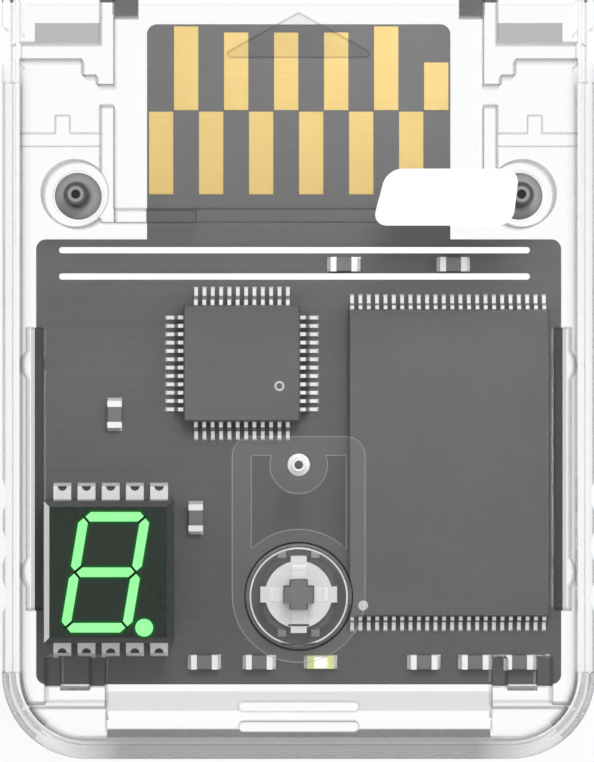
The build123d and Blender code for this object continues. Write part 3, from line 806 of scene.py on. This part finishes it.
class Palette:
    """Finishes of the card, each made once."""

    def __init__(self) -> None:
        """Makes every finish that several sub-assemblies use."""
        rivet = middle(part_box("button_rivet"))
        spared = (rivet.x, rivet.y, 0.9 * MM)
        screw = middle(max(solids_of("case_screws"), key=lambda box: box[1].x))
        cap = middle(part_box("switch_plunger"))
        # Painted shade on the clear case: zones and rings of darker tone where edges, walls, recesses
        # and the lower scoop show grey.
        guide_sides = ShadeZone((9.5 * MM, 10.97 * MM), (21.35 * MM, 22.6 * MM), (3.0 * MM, 8.0 * MM),
                               0.85)
        guide_ends = ShadeZone((10.9 * MM, 16.6 * MM), (22.33 * MM, 22.6 * MM), (3.0 * MM, 3.9 * MM),
                              0.85)
        lower_slope = ShadeZone((0.0, 11.3 * MM), (-21.2 * MM, -20.76 * MM), (6.85 * MM, 7.58 * MM),
                               0.96)
        lower_band = ShadeZone((0.0, 11.3 * MM), (-19.62 * MM, -18.46 * MM),
                              (7.42 * MM, 7.597 * MM), 0.42)
        upper_band = ShadeZone((0.0, 4.8 * MM), (18.8 * MM, 21.6 * MM), (7.2 * MM, 7.5 * MM), 0.22)
        rail_feet = ShadeZone((15.25 * MM, 15.97 * MM), (-13.75 * MM, 2.95 * MM),
                             (2.1 * MM, 2.3 * MM), 0.6)
        hole_ring = ShadeRing((cap.x, cap.y), (3.1 * MM, 3.2 * MM), 6.3 * MM, 0.97)
        boss_ring = ShadeRing((screw.x, screw.y), (1.93 * MM, 2.03 * MM), 7.5 * MM, 0.55)
        front_painted_shade = (guide_sides, lower_slope, lower_band, guide_ends, upper_band, rail_feet,
                       hole_ring, boss_ring)
        rear_guides = ShadeZone((11.9 * MM, 15.9 * MM), (20.15 * MM, 21.35 * MM),
                               (1.2 * MM, 2.5 * MM), 0.77)
        rear_ends = ShadeZone((10.9 * MM, 16.6 * MM), (22.33 * MM, 22.6 * MM), (2.6 * MM, 3.4 * MM),
                             0.85)
        cap_ring = ShadeRing((cap.x, cap.y), (2.9 * MM, 3.1 * MM), 6.8 * MM, 0.97)
        # The front's rows of walls and low_walls are painted shade over the outer walls seen end-on.
        self.front = ClearPlastic(
            "clear_front", spared=spared, zones=front_painted_shade, rim=(-22.5 * MM, -21.1 * MM, 0.9),
            walls=((0.0, 0.5), (0.12 * MM, 0.45), (0.25 * MM, 0.2), (0.6 * MM, 0.1), (1.06 * MM, 0.03),
                   (1.13 * MM, 0.88), (1.22 * MM, 0.8), (1.32 * MM, 0.42), (1.5 * MM, 0.15),
                   (1.8 * MM, 0.0)),
            low_walls=((0.0, 0.7), (0.15 * MM, 0.5), (0.6 * MM, 0.3), (1.1 * MM, 0.2),
                       (1.2 * MM, 0.0))).make()
        self.rear = ClearPlastic("clear_rear", zones=(rear_guides, rear_ends), edge_radius=0.0).make()
        # The button's edges get painted shade above a set height and a painted glow below it.
        self.button = ClearPlastic("clear_button_plastic", tint=(0.99, 0.995, 1.0), spared=spared,
                                   edge_radius=0.1 * MM, edge_shade=0.6, painted_shade_tone=(0.0, 0.0, 0.0),
                                   zones=(cap_ring,), wall_line=0.0, shade_above=6.8 * MM,
                                   edge_painted_glow=0.24, fill_painted_glow=0.012).make()
        self.board = SolderMask().make()
        self.gold = Metal("gold_plate", (0.58, 0.41, 0.135), (0.65, 0.47, 0.17), (0.34, 0.48),
                          metallic=0.3).make()
        self.tin = Metal("tinned", (0.9, 0.9, 0.89), (0.97, 0.97, 0.96), (0.34, 0.46),
                         metallic=0.1).make()
        # The leads' sloping faces get painted shade.
        self.lead = Metal("lead_tin", (0.9, 0.9, 0.89), (0.97, 0.97, 0.96), (0.34, 0.46),
                          metallic=0.1, slope_shade=0.9).make()
        self.solder = Metal("solder", (0.6, 0.6, 0.6), (0.78, 0.78, 0.77), (0.25, 0.4),
                            (2000.0, 2000.0, 2000.0), 0.3, metallic=0.5).make()
        self.dull_tin = Metal("dull_tin", (0.4, 0.4, 0.4), (0.5, 0.5, 0.5), metallic=0.5).make()
        self.steel = Metal("bright_steel", (0.72, 0.72, 0.72), (0.8, 0.8, 0.8), (0.4, 0.52),
                           metallic=0.1).make()
        # Straps and lips of the switch cover: lighter steels as painted highlights.
        self.strap = Metal("strap_highlight_steel", (0.84, 0.84, 0.84), (0.9, 0.9, 0.9), (0.4, 0.52),
                           metallic=0.1).make()
        self.bright = Metal("lip_highlight_steel", (0.88, 0.88, 0.88), (0.96, 0.96, 0.96), (0.35, 0.45),
                            metallic=0.2).make()
        self.thread = Metal("dark_steel", (0.1, 0.1, 0.1), (0.18, 0.18, 0.18), (0.25, 0.45),
                            (6000.0, 6000.0, 500.0)).make()
        self.rivet = Metal("nickel", (0.92, 0.92, 0.92), (0.98, 0.98, 0.98), (0.3, 0.42),
                           metallic=0.15).make()
        self.resin = Moulding("chip_resin", (0.094, 0.094, 0.095), (0.116, 0.116, 0.117)).make()
        self.outline = Moulding("segment_mask", (0.0, 0.1, 0.014), (0.001, 0.12, 0.018),
                                (0.4, 0.55), sheen=0.02).make()
        self.switch = Moulding("switch_body", (0.06, 0.06, 0.06), (0.09, 0.09, 0.09)).make()
        self.key = Moulding("switch_key", (0.11, 0.11, 0.11), (0.16, 0.16, 0.16)).make()
        self.ceramic = Moulding("chip_ceramic", (0.15, 0.15, 0.15), (0.19, 0.19, 0.19),
                                (0.35, 0.5), 5000.0).make()
        self.lamp_cap = Moulding("lamp_cap", (0.66, 0.69, 0.27), (0.76, 0.79, 0.35), (0.3, 0.45)).make()
        self.mark = Moulding("pale_mark", (0.5, 0.5, 0.5), (0.62, 0.62, 0.62)).make()
        # A dark film as a painted shadow of a slot.
        self.painted_slot_shadow = Moulding("slot_shadow", (0.03, 0.03, 0.03), (0.05, 0.05, 0.05)).make()
        self.ink = Moulding("white_ink", (0.84, 0.84, 0.84), (0.92, 0.92, 0.92), (0.45, 0.6),
                            1600.0, 0.1).make()


# ---------------------------------------------------------------- shared making


def dress(node: str, material: bpy.types.Material) -> None:
    """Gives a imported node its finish."""
    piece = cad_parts[node]
    if not piece.material_slots:
        piece.data.materials.append(material)
    for place in piece.material_slots:
        place.material = material
    LOG.info("dressed %s with %s", node, material.name)


def make_piece(name: str, form: Form, material: bpy.types.Material) -> bpy.types.Object:
    """Turns a finished form into a piece that rides on the card.

    Args:
        name: name of the piece.
        form: the form, in metres in the card's frame; it is freed here.
        material: finish of the piece.

    Returns:
        The new object.
    """
    bmesh.ops.remove_doubles(form, verts=form.verts, dist=FINE_WELD)
    bmesh.ops.recalc_face_normals(form, faces=form.faces)
    mesh = bpy.data.meshes.new(name)
    form.to_mesh(mesh)
    form.free()
    mesh.materials.append(material)
    piece = bpy.data.objects.new(name, mesh)
    bpy.context.scene.collection.objects.link(piece)
    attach(piece, Body.CARD.value)
    LOG.info("made %s, %d faces", name, len(mesh.polygons))
    return piece


def solids_of(node: str) -> list[Box]:
    """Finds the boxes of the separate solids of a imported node.

    Args:
        node: name of the node.

    Returns:
        One lowest and highest corner for each solid.
    """
    form = bmesh.new()
    form.from_mesh(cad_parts[node].data)
    bmesh.ops.remove_doubles(form, verts=form.verts, dist=WELD)
    boxes: list[Box] = []
    seen: set[bmesh.types.BMVert] = set()
    for first in form.verts:
        if first in seen:
            continue
        island, edge = [], [first]
        seen.add(first)
        while edge:
            vert = edge.pop()
            island.append(vert.co.copy())
            for link in vert.link_edges:
                other = link.other_vert(vert)
                if other not in seen:
                    seen.add(other)
                    edge.append(other)
        boxes.append((Vector(min(p[i] for p in island) for i in range(3)),
                      Vector(max(p[i] for p in island) for i in range(3))))
    form.free()
    return boxes


def middle(box: Box) -> Vector:
    """Gives the centre of a box."""
    return (box[0] + box[1]) / 2


def facing(box: Box, owner: Box) -> Side:
    """Says on which side of its owner a lead or cap stands."""
    centre = middle(box)
    out = {Side.UP: centre.y - owner[1].y, Side.DOWN: owner[0].y - centre.y,
           Side.RIGHT: centre.x - owner[1].x, Side.LEFT: owner[0].x - centre.x}
    return max(out, key=out.get)


def block(form: Form, low: Vector, high: Vector) -> list[bmesh.types.BMVert]:
    """Adds a block between two corners and gives its vertices."""
    size = high - low
    place = Matrix.Translation((low + high) / 2) @ Matrix.Diagonal((*size, 1.0))
    return bmesh.ops.create_cube(form, size=1.0, matrix=place)["verts"]


def soften(form: Form, geom: list, offset: float, segments: int, affect: str = "EDGES") -> None:
    """Rounds some edges of a form, or its corners where it is told VERTICES."""
    bmesh.ops.bevel(form, geom=geom, offset=offset, segments=segments, profile=0.5, affect=affect,
                    material=-1)


def thicken(form: Form, rise: float) -> None:
    """Turns the flat faces of a form into a film."""
    top = bmesh.ops.extrude_face_region(form, geom=list(form.faces), use_keep_orig=True)["geom"]
    bmesh.ops.translate(form, verts=[v for v in top if isinstance(v, bmesh.types.BMVert)],
                        vec=(0.0, 0.0, rise))


def lathe(form: Form, profile: list[Pair], centre: Vector, steps: int) -> None:
    """Spins a closed profile once round an upright axis.

    Args:
        form: form to add to.
        profile: pairs of a radius and a height.
        centre: point on the axis.
        steps: steps of the turn.
    """
    verts = [form.verts.new((centre.x + r, centre.y, z)) for r, z in profile]
    edges = [form.edges.new((verts[i - 1], verts[i])) for i in range(len(verts))]
    bmesh.ops.spin(form, geom=verts + edges, cent=(centre.x, centre.y, 0.0), axis=UPRIGHT,
                   angle=math.tau, steps=steps, use_merge=True)


@dataclass(frozen=True)
class Bead:
    """Small sloping bead of solder at the end of each lead or cap."""

    length: float
    height: float
    margin: float = 0.0
    slimming: float = 0.3
    fall: float = 0.75
    rounding: float = 0.18
    foot: float = 0.1

    def lay(self, form: Form, lead: Box, owner: Box) -> None:
        """Adds the bead of one lead or cap.

        Args:
            form: form to add to.
            lead: box of the lead or cap.
            owner: box of the part that it belongs to.
        """
        side = facing(lead, owner)
        half = (lead[1] - lead[0]) / 2
        end = middle(lead) + side.way * abs(half.dot(side.way))
        end.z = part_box("circuit_board")[1].z
        width = 2 * abs(half.dot(side.across)) + 2 * self.margin
        verts = bmesh.ops.create_cube(form, size=1.0)["verts"]
        for vert in verts:
            run, over, up = vert.co.x + 0.5, vert.co.y, vert.co.z + 0.5
            slim = 1.0 - self.slimming * run * up
            rise = self.height * (1.0 - self.fall * run) if up > 0.5 else 0.0
            vert.co = end + side.way * (run * self.length) + side.across * (over * width * slim)
            vert.co.z = end.z + rise
        edges = [e for e in form.edges if all(v in verts for v in e.verts)]
        foot = end.z + self.height * self.foot
        top = [e for e in edges if min(v.co.z for v in e.verts) > foot]
        soften(form, top, min(width, self.length) * self.rounding, 2)


# ---------------------------------------------------------------- sub-assemblies


@dataclass
class Assembly:
    """Sub-assembly of the card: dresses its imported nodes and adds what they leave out."""

    palette: Palette

    def dress(self) -> None:
        """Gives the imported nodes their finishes, if the sub-assembly has any."""

    def build(self) -> None:
        """Adds the small forms, if the sub-assembly has any."""


@dataclass
class ClearCase(Assembly):
    """Front and rear shells with the sprung button and its rivet."""

    parting_gap: float = 0.004 * MM
    rivet_hole: float = 0.26 * MM
    rivet_barrel: float = 0.41 * MM
    rivet_flange: float = 0.25 * MM
    rivet_round: float = 0.05 * MM
    rivet_steps: int = 48

    def dress(self) -> None:
        """Gives the shells, button and rivet their finishes."""
        dress("front_shell", self.palette.front)
        dress("rear_shell", self.palette.rear)
        dress("page_button", self.palette.button)
        dress("button_rivet", self.palette.rivet)
        for node in ("front_shell", "rear_shell", "page_button"):
            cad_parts[node].visible_diffuse = False

    def build(self) -> None:
        """Opens hair lines, so that each shell keeps its own clear face, and turns the rivet."""
        for node, drop in (("rear_shell", self.parting_gap), ("circuit_board", self.parting_gap / 2)):
            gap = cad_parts[node].modifiers.new("parting_gap", "DISPLACE")
            gap.direction, gap.mid_level, gap.strength = "Z", 0.0, -drop
        self.build_rivet()

    def build_rivet(self) -> None:
        """Turns the hollow rivet with rounded lips, a hair line short of its socket's end."""
        low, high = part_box("button_rivet")
        reach, soft = (high.x - low.x) / 2, self.rivet_round
        end, shoulder = high.z - self.parting_gap, low.z + self.rivet_flange
        form = bmesh.new()
        lathe(form, [(self.rivet_hole, low.z), (reach - soft, low.z), (reach, low.z + soft),
                     (reach, shoulder - soft), (reach - soft, shoulder),
                     (self.rivet_barrel, shoulder), (self.rivet_barrel, end - soft),
                     (self.rivet_barrel - soft, end), (self.rivet_hole + soft, end),
                     (self.rivet_hole, end - soft)], (low + high) / 2, self.rivet_steps)
        rivet = make_piece("turned_rivet", form, self.palette.rivet)
        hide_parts("button_rivet")


@dataclass
class PrintedFront(Assembly):
    """White print on the front face: a plain tab and two plain stripes."""

    tab: Pairs = (
        (4.3 * MM, 8.95 * MM), (12.6 * MM, 8.95 * MM), (13.0 * MM, 12.3 * MM), (5.2 * MM, 12.3 * MM))
    tab_round: float = 0.9 * MM
    tab_steps: int = 8
    stripe_half_width: float = 0.18 * MM
    stripe_round: float = 0.9
    stripe_steps: int = 4
    stripe_span: Pair = (-14.1 * MM, 13.6 * MM)
    stripe_rows: tuple[float, ...] = (7.5 * MM, 5.95 * MM)
    lift: float = 0.002 * MM
    film: float = 0.008 * MM

    def build(self) -> None:
        """Makes the films, a hair above the clear face."""
        form = bmesh.new()
        self.patch(form, self.tab, self.tab_round, self.tab_steps)
        left, right = self.stripe_span
        for row in self.stripe_rows:
            low, high = row - self.stripe_half_width, row + self.stripe_half_width
            self.patch(form, ((left, low), (right, low), (right, high), (left, high)),
                       self.stripe_half_width * self.stripe_round, self.stripe_steps)
        thicken(form, self.film)
        make_piece("front_print", form, self.palette.ink)

    def patch(self, form: Form, corners: Pairs, rounding: float, steps: int) -> None:
        """Adds one flat patch of print.

        Args:
            form: form to add to.
            corners: X and Y of its corners.
            rounding: size of the rounding at each corner.
            steps: steps of the rounding.
        """
        level = CAD_BOX[1][2] + self.lift
        face = form.faces.new([form.verts.new((x, y, level)) for x, y in corners])
        soften(form, list(face.verts), rounding, steps, "VERTICES")


@dataclass
class CaseScrews(Assembly):
    """Two self-tapping screws with the threads that the plain shanks leave out."""

    pitch: float = 0.5 * MM
    core: float = 0.64 * MM
    crest: float = 0.7 * MM
    flank: float = 0.14 * MM
    start: float = 2.35 * MM
    run_out: float = 0.12 * MM
    turn_steps: int = 24

    def dress(self) -> None:
        """Gives the screws their finish."""
        centre = middle(max(solids_of("case_screws"), key=lambda box: box[1].x))
        dress("case_screws", TurnedScrew((centre.x, centre.y)).make())

    def build(self) -> None:
        """Winds one ridge round each shank."""
        form = bmesh.new()
        for box in solids_of("case_screws"):
            centre = middle(box)
            top = box[1].z - self.run_out
            turns = (top - self.start) / self.pitch
            steps = int(turns * self.turn_steps)
            profile = [(self.core, -self.flank), (self.crest, 0.0), (self.core, self.flank)]
            verts = [form.verts.new((centre.x + r, centre.y, self.start + z)) for r, z in profile]
            ends = [form.edges.new((verts[i], verts[(i + 1) % 3])) for i in range(3)]
            bmesh.ops.spin(form, geom=verts + ends, cent=(centre.x, centre.y, 0.0), axis=UPRIGHT,
                           dvec=(0.0, 0.0, (top - self.start) / steps), angle=turns * math.tau,
                           steps=steps, use_merge=False)
        bmesh.ops.holes_fill(form, edges=[e for e in form.edges if e.is_boundary], sides=3)
        make_piece("screw_threads", form, self.palette.thread)


@dataclass
class Board(Assembly):
    """Lacquered board with its plated edge contacts."""

    def dress(self) -> None:
        """Gives the board and contacts their finishes."""
        dress("circuit_board", self.palette.board)
        dress("edge_contacts", self.palette.gold)


@dataclass
class ChipPackages(Assembly):
    """Controller and memory packages with solder at each lead and a moulded first-pin mark."""

    chips: tuple[tuple[str, str], ...] = (
        ("controller_chip", "controller_leads"), ("flash_chip", "flash_leads"))
    bead: Bead = Bead(0.1 * MM, 0.1 * MM, 0.02 * MM)
    mark_radius: float = 0.3 * MM
    mark_wall: float = 0.12 * MM
    mark_rise: float = 0.012 * MM
    mark_steps: int = 32
    memory_mark: Pair = (0.9 * MM, 0.7 * MM)
    control_mark: Pair = (5.75 * MM, 2.15 * MM)

    def dress(self) -> None:
        """Gives the packages and leads their finishes."""
        for chip, leads in self.chips:
            dress(chip, self.palette.resin)
            dress(leads, self.palette.lead)

    def build(self) -> None:
        """Makes the solder and the marks."""
        form = bmesh.new()
        for chip, leads in self.chips:
            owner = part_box(chip)
            for box in solids_of(leads):
                self.bead.lay(form, box, owner)
        make_piece("lead_solder", form, self.palette.solder)
        marks = bmesh.new()
        self.mark(marks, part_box("flash_chip"), self.memory_mark, 0.0)
        self.mark(marks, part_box("controller_chip"), self.control_mark,
                  self.mark_radius - self.mark_wall)
        make_piece("first_pin_marks", marks, self.palette.mark)

    def mark(self, form: Form, box: Box, inset: Pair, hole: float) -> None:
        """Adds one round mark on a package's top.

        Args:
            form: form to add to.
            box: box of the package.
            inset: distance of the mark from the package's left and lower sides.
            hole: radius of the mark's open middle, 0 for a whole disc.
        """
        centre = Vector((box[0].x + inset[0], box[0].y + inset[1], box[1].z))
        top = centre.z + self.mark_rise
        lathe(form, [(hole, centre.z), (hole, top), (self.mark_radius, top),
                     (self.mark_radius, centre.z)], centre, self.mark_steps)


@dataclass
class DigitDisplay(Assembly):
    """One-digit display with lit bars, a dark mask line round each and soldered terminals."""

    line: float = 0.12 * MM
    line_rise: float = 0.01 * MM
    flat: float = 0.9
    top_depth: float = 0.01 * MM
    straight: float = 0.02
    bead: Bead = Bead(0.2 * MM, 0.3 * MM)

    def dress(self) -> None:
        """Gives the display its finishes."""
        dress("display_housing", DisplayShell().make())
        dress("display_segments", LitBar().make())
        dress("display_terminals", self.palette.tin)

    def build(self) -> None:
        """Makes the mask lines and the solder."""
        form = bmesh.new()
        form.from_mesh(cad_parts["display_segments"].data)
        bmesh.ops.remove_doubles(form, verts=form.verts, dist=WELD)
        top = max(v.co.z for v in form.verts)
        sides = [f for f in form.faces
                 if f.normal.z < self.flat or f.calc_center_median().z < top - self.top_depth]
        bmesh.ops.delete(form, geom=sides, context="FACES")
        bmesh.ops.dissolve_limit(form, angle_limit=self.straight, verts=form.verts,
                                 edges=form.edges)
        bars = list(form.faces)
        bmesh.ops.inset_individual(form, faces=bars, thickness=-self.line, use_even_offset=True)
        bmesh.ops.delete(form, geom=bars, context="FACES_ONLY")
        thicken(form, self.line_rise)
        make_piece("segment_lines", form, self.palette.outline)
        beads = bmesh.new()
        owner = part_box("display_housing")
        for box in solids_of("display_terminals"):
            self.bead.lay(beads, box, owner)
        make_piece("display_solder", beads, self.palette.solder)


@dataclass
class PressSwitch(Assembly):
    """Press switch below the button, with a thin snap dome under its key."""

    bar_round: float = 0.7
    dome_steps: int = 40
    dome_rings: int = 8
    dome_sheet: float = 0.06 * MM
    dome_keep: float = 0.32
    strap: Pair = (0.98 * MM, 1.74 * MM)
    strap_half_width: float = 0.42 * MM
    strap_rise: float = 0.02 * MM
    lip_start: float = 1.44 * MM
    lip_rise: float = 0.05 * MM
    slot_reach: Pair = (1.76 * MM, 1.88 * MM)
    slot_half_width: float = 0.62 * MM
    slot_film: float = 0.004 * MM

    def dress(self) -> None:
        """Gives the switch its finishes."""
        dress("switch_base", self.palette.switch)
        dress("switch_cover", self.palette.steel)
        dress("switch_plunger", self.palette.key)
        dress("switch_terminals", self.palette.dull_tin)
        dress("switch_dome", self.palette.steel)

    def build(self) -> None:
        """Makes the snap dome and the forms pressed into the cover."""
        self.build_dome()
        self.build_cover()

    def bar(self, form: Form, side: Side, reach: Pair, half: float, rise: float) -> None:
        """Adds one low bar with rounded upper edges on the cover, pointing out from the key.

        Args:
            form: form to add to.
            side: way that the bar points.
            reach: distance of its two ends from the key's axis.
            half: half of its width.
            rise: how far it stands up from the cover.
        """
        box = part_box("switch_cover")
        across = side.across * half
        ends = [middle(box) + side.way * reach[0] - across, middle(box) + side.way * reach[1] + across]
        low = Vector((min(e.x for e in ends), min(e.y for e in ends), box[1].z))
        high = Vector((max(e.x for e in ends), max(e.y for e in ends), box[1].z + rise))
        upper = [v for v in block(form, low, high) if v.co.z > low.z + rise / 2]
        edges = {e for v in upper for e in v.link_edges if all(w in upper for w in e.verts)}
        soften(form, list(edges), rise * self.bar_round, 2)

    def build_cover(self) -> None:
        """Presses four straps into the cover in a lighter steel, with lips in a brighter steel, both as
        painted highlights, and lays a dark film beside the lower lip as a painted slot shadow.
        """
        straps, lips, slot = bmesh.new(), bmesh.new(), bmesh.new()
        for side in Side:
            self.bar(straps, side, self.strap, self.strap_half_width, self.strap_rise)
            self.bar(lips, side, (self.lip_start, self.strap[1]), self.strap_half_width, self.lip_rise)
        self.bar(slot, Side.DOWN, self.slot_reach, self.slot_half_width, self.slot_film)
        make_piece("cover_straps", straps, self.palette.strap)
        make_piece("cover_lips", lips, self.palette.bright)
        make_piece("cover_slot_shadow", slot, self.palette.painted_slot_shadow)

    def build_dome(self) -> None:
        """Makes the snap dome from an arc spun about the key's axis."""
        low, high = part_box("switch_dome")
        centre = (low + high) / 2
        reach, rise = (high.x - low.x) / 2, high.z - low.z
        radius = (reach * reach + rise * rise) / (2 * rise)
        form = bmesh.new()
        first = form.verts.new((centre.x, centre.y, high.z))
        turn = math.asin(reach / radius)
        bmesh.ops.spin(form, geom=[first], cent=(centre.x, centre.y, high.z - radius),
                       axis=(0.0, 1.0, 0.0), angle=turn, steps=self.dome_rings, use_merge=False)
        bmesh.ops.spin(form, geom=list(form.verts) + list(form.edges), cent=(centre.x, centre.y, 0.0),
                       axis=UPRIGHT, angle=math.tau, steps=self.dome_steps, use_merge=True)
        bmesh.ops.remove_doubles(form, verts=form.verts, dist=WELD)
        bmesh.ops.recalc_face_normals(form, faces=form.faces)
        bmesh.ops.solidify(form, geom=list(form.faces), thickness=self.dome_sheet)
        dome = make_piece("snap_dome", form, self.palette.steel)
        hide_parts("switch_dome")
        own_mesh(dome)


@dataclass
class SmallParts(Assembly):
    """Chip parts and the indicator lamp with solder at their end caps."""

    bead: Bead = Bead(0.2 * MM, 0.24 * MM)

    def dress(self) -> None:
        """Gives the small parts their finishes."""
        dress("chip_resistors", self.palette.ceramic)
        dress("resistor_caps", self.palette.tin)
        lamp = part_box("status_led")
        dress("status_led", LampLens(centre=tuple(middle(lamp))).make())
        dress("led_caps", self.palette.lamp_cap)

    def build(self) -> None:
        """Makes the solder at each end cap."""
        form = bmesh.new()
        bodies = solids_of("chip_resistors") + solids_of("status_led")
        for box in solids_of("resistor_caps") + solids_of("led_caps"):
            owner = min(bodies, key=lambda body: (middle(body) - middle(box)).length)
            self.bead.lay(form, box, owner)
        make_piece("chip_part_solder", form, self.palette.solder)


@dataclass
class Studio:
    """Pale floor, soft light from above and the upper side, and the camera."""

    floor_half: float = 1.5
    floor_drop: float = 0.05 * MM
    floor_colour: Colour = (0.9, 0.9, 0.9)
    floor_glow: float = 0.85
    camera_place: tuple[float, float, float] = (-0.1 * MM, -0.2 * MM, 270.0 * MM)
    lens: float = 210.6
    sensor: float = 36.0
    clip: Pair = (0.01, 10.0)
    sky: Pair = (0.67, 0.9)
    sky_reach: float = 0.6
    sky_hole: tuple[float, float, float] = (0.93, 0.985, 0.5)
    sky_edge: Pair = (0.05, 0.5)
    low_light: float = 0.45
    lamps: list[tuple[str, tuple, float, float]] = field(default_factory=lambda: [
        ("key_panel", (0.01, 0.05, 0.075), 0.03, 0.036),
        ("side_panel", (0.36, 0.02, 0.2), 0.22, 0.3)])

    def build(self) -> None:
        """Makes the whole studio."""
        self.build_floor()
        self.build_sky()
        for name, place, size, power in self.lamps:
            self.build_lamp(name, Vector(place), size, power)
        self.build_camera()

    def build_floor(self) -> None:
        """Lays the floor, which shows white and still takes the card's shadow."""
        form = bmesh.new()
        bmesh.ops.create_grid(form, x_segments=2, y_segments=2, size=self.floor_half,
                              matrix=Matrix.Translation((0.0, 0.0, -self.floor_drop)))
        mesh = bpy.data.meshes.new("floor")
        form.to_mesh(mesh)
        form.free()
        material, graph = open_material("pale_floor")
        paper = graph.add("ShaderNodeBsdfPrincipled", {"Base Color": (*self.floor_colour, 1.0),
                                                       "Roughness": 0.9, "Specular IOR Level": 0.1})
        white = graph.add("ShaderNodeEmission", {"Color": WHITE, "Strength": 1.0})
        path = graph.add("ShaderNodeLightPath")
        seen = graph.maths("MULTIPLY", path.outputs["Is Camera Ray"], self.floor_glow)
        seen = graph.maths("MAXIMUM", seen, graph.maths("MAXIMUM", path.outputs["Is Glossy Ray"],
                                                        path.outputs["Is Transmission Ray"]))
        graph.surface(graph.mix(seen, paper, white))
        mesh.materials.append(material)
        floor = bpy.data.objects.new("floor", mesh)
        bpy.context.scene.collection.objects.link(floor)

    def build_sky(self) -> None:
        """Lights the room: a bright ring, dim at the horizon and straight above."""
        world = bpy.data.worlds.new("soft_room")
        bpy.context.scene.world = world
        world.use_nodes = True
        graph = Graph(world.node_tree)
        way = graph.add("ShaderNodeSeparateXYZ",
                        {0: graph.add("ShaderNodeTexCoord").outputs["Generated"]})
        across = graph.spread(way.outputs["Y"], *self.sky, -self.sky_reach, self.sky_reach, True)
        rise = graph.spread(way.outputs["Z"], self.low_light, 1.0, *self.sky_edge, True)
        hole = graph.spread(way.outputs["Z"], 1.0, self.sky_hole[2], *self.sky_hole[:2], True)
        light = graph.product(across, rise, hole)
        room = graph.add("ShaderNodeBackground", {"Strength": light, "Color": WHITE})
        white = graph.add("ShaderNodeBackground", {"Strength": 1.0, "Color": WHITE})
        path = graph.add("ShaderNodeLightPath")
        mixed = graph.mix(path.outputs["Is Camera Ray"], room, white)
        graph.add("ShaderNodeOutputWorld", {"Surface": mixed.outputs[0]})

    def build_lamp(self, name: str, place: Vector, size: float, power: float) -> None:
        """Hangs one soft lamp that points at the card.

        Args:
            name: name of the lamp.
            place: where it hangs.
            size: side of its square panel.
            power: watts.
        """
        lamp = bpy.data.lights.new(name, "AREA")
        lamp.size, lamp.energy = size, power
        panel = bpy.data.objects.new(name, lamp)
        panel.location = place
        panel.rotation_mode = "QUATERNION"
        panel.rotation_quaternion = (-place).to_track_quat("-Z", "Y")
        bpy.context.scene.collection.objects.link(panel)

    def build_camera(self) -> None:
        """Hangs the camera straight above the card."""
        camera = bpy.data.cameras.new("camera")
        camera.lens, camera.sensor_width = self.lens, self.sensor
        camera.clip_start, camera.clip_end = self.clip
        holder = bpy.data.objects.new("camera", camera)
        holder.location = self.camera_place
        bpy.context.scene.collection.objects.link(holder)
        bpy.context.scene.camera = holder


def main() -> None:
    """Builds and dresses the card, then the studio."""
    logging.basicConfig(level=logging.INFO, format="%(name)s: %(message)s")
    palette = Palette()
    for kind in (ClearCase, PrintedFront, CaseScrews, Board, ChipPackages, DigitDisplay, PressSwitch,
                 SmallParts):
        part = kind(palette)
        part.dress()
        part.build()
    Studio().build()
    bpy.context.scene.view_settings.view_transform = "Standard"


if __name__ == "__main__":
    main()
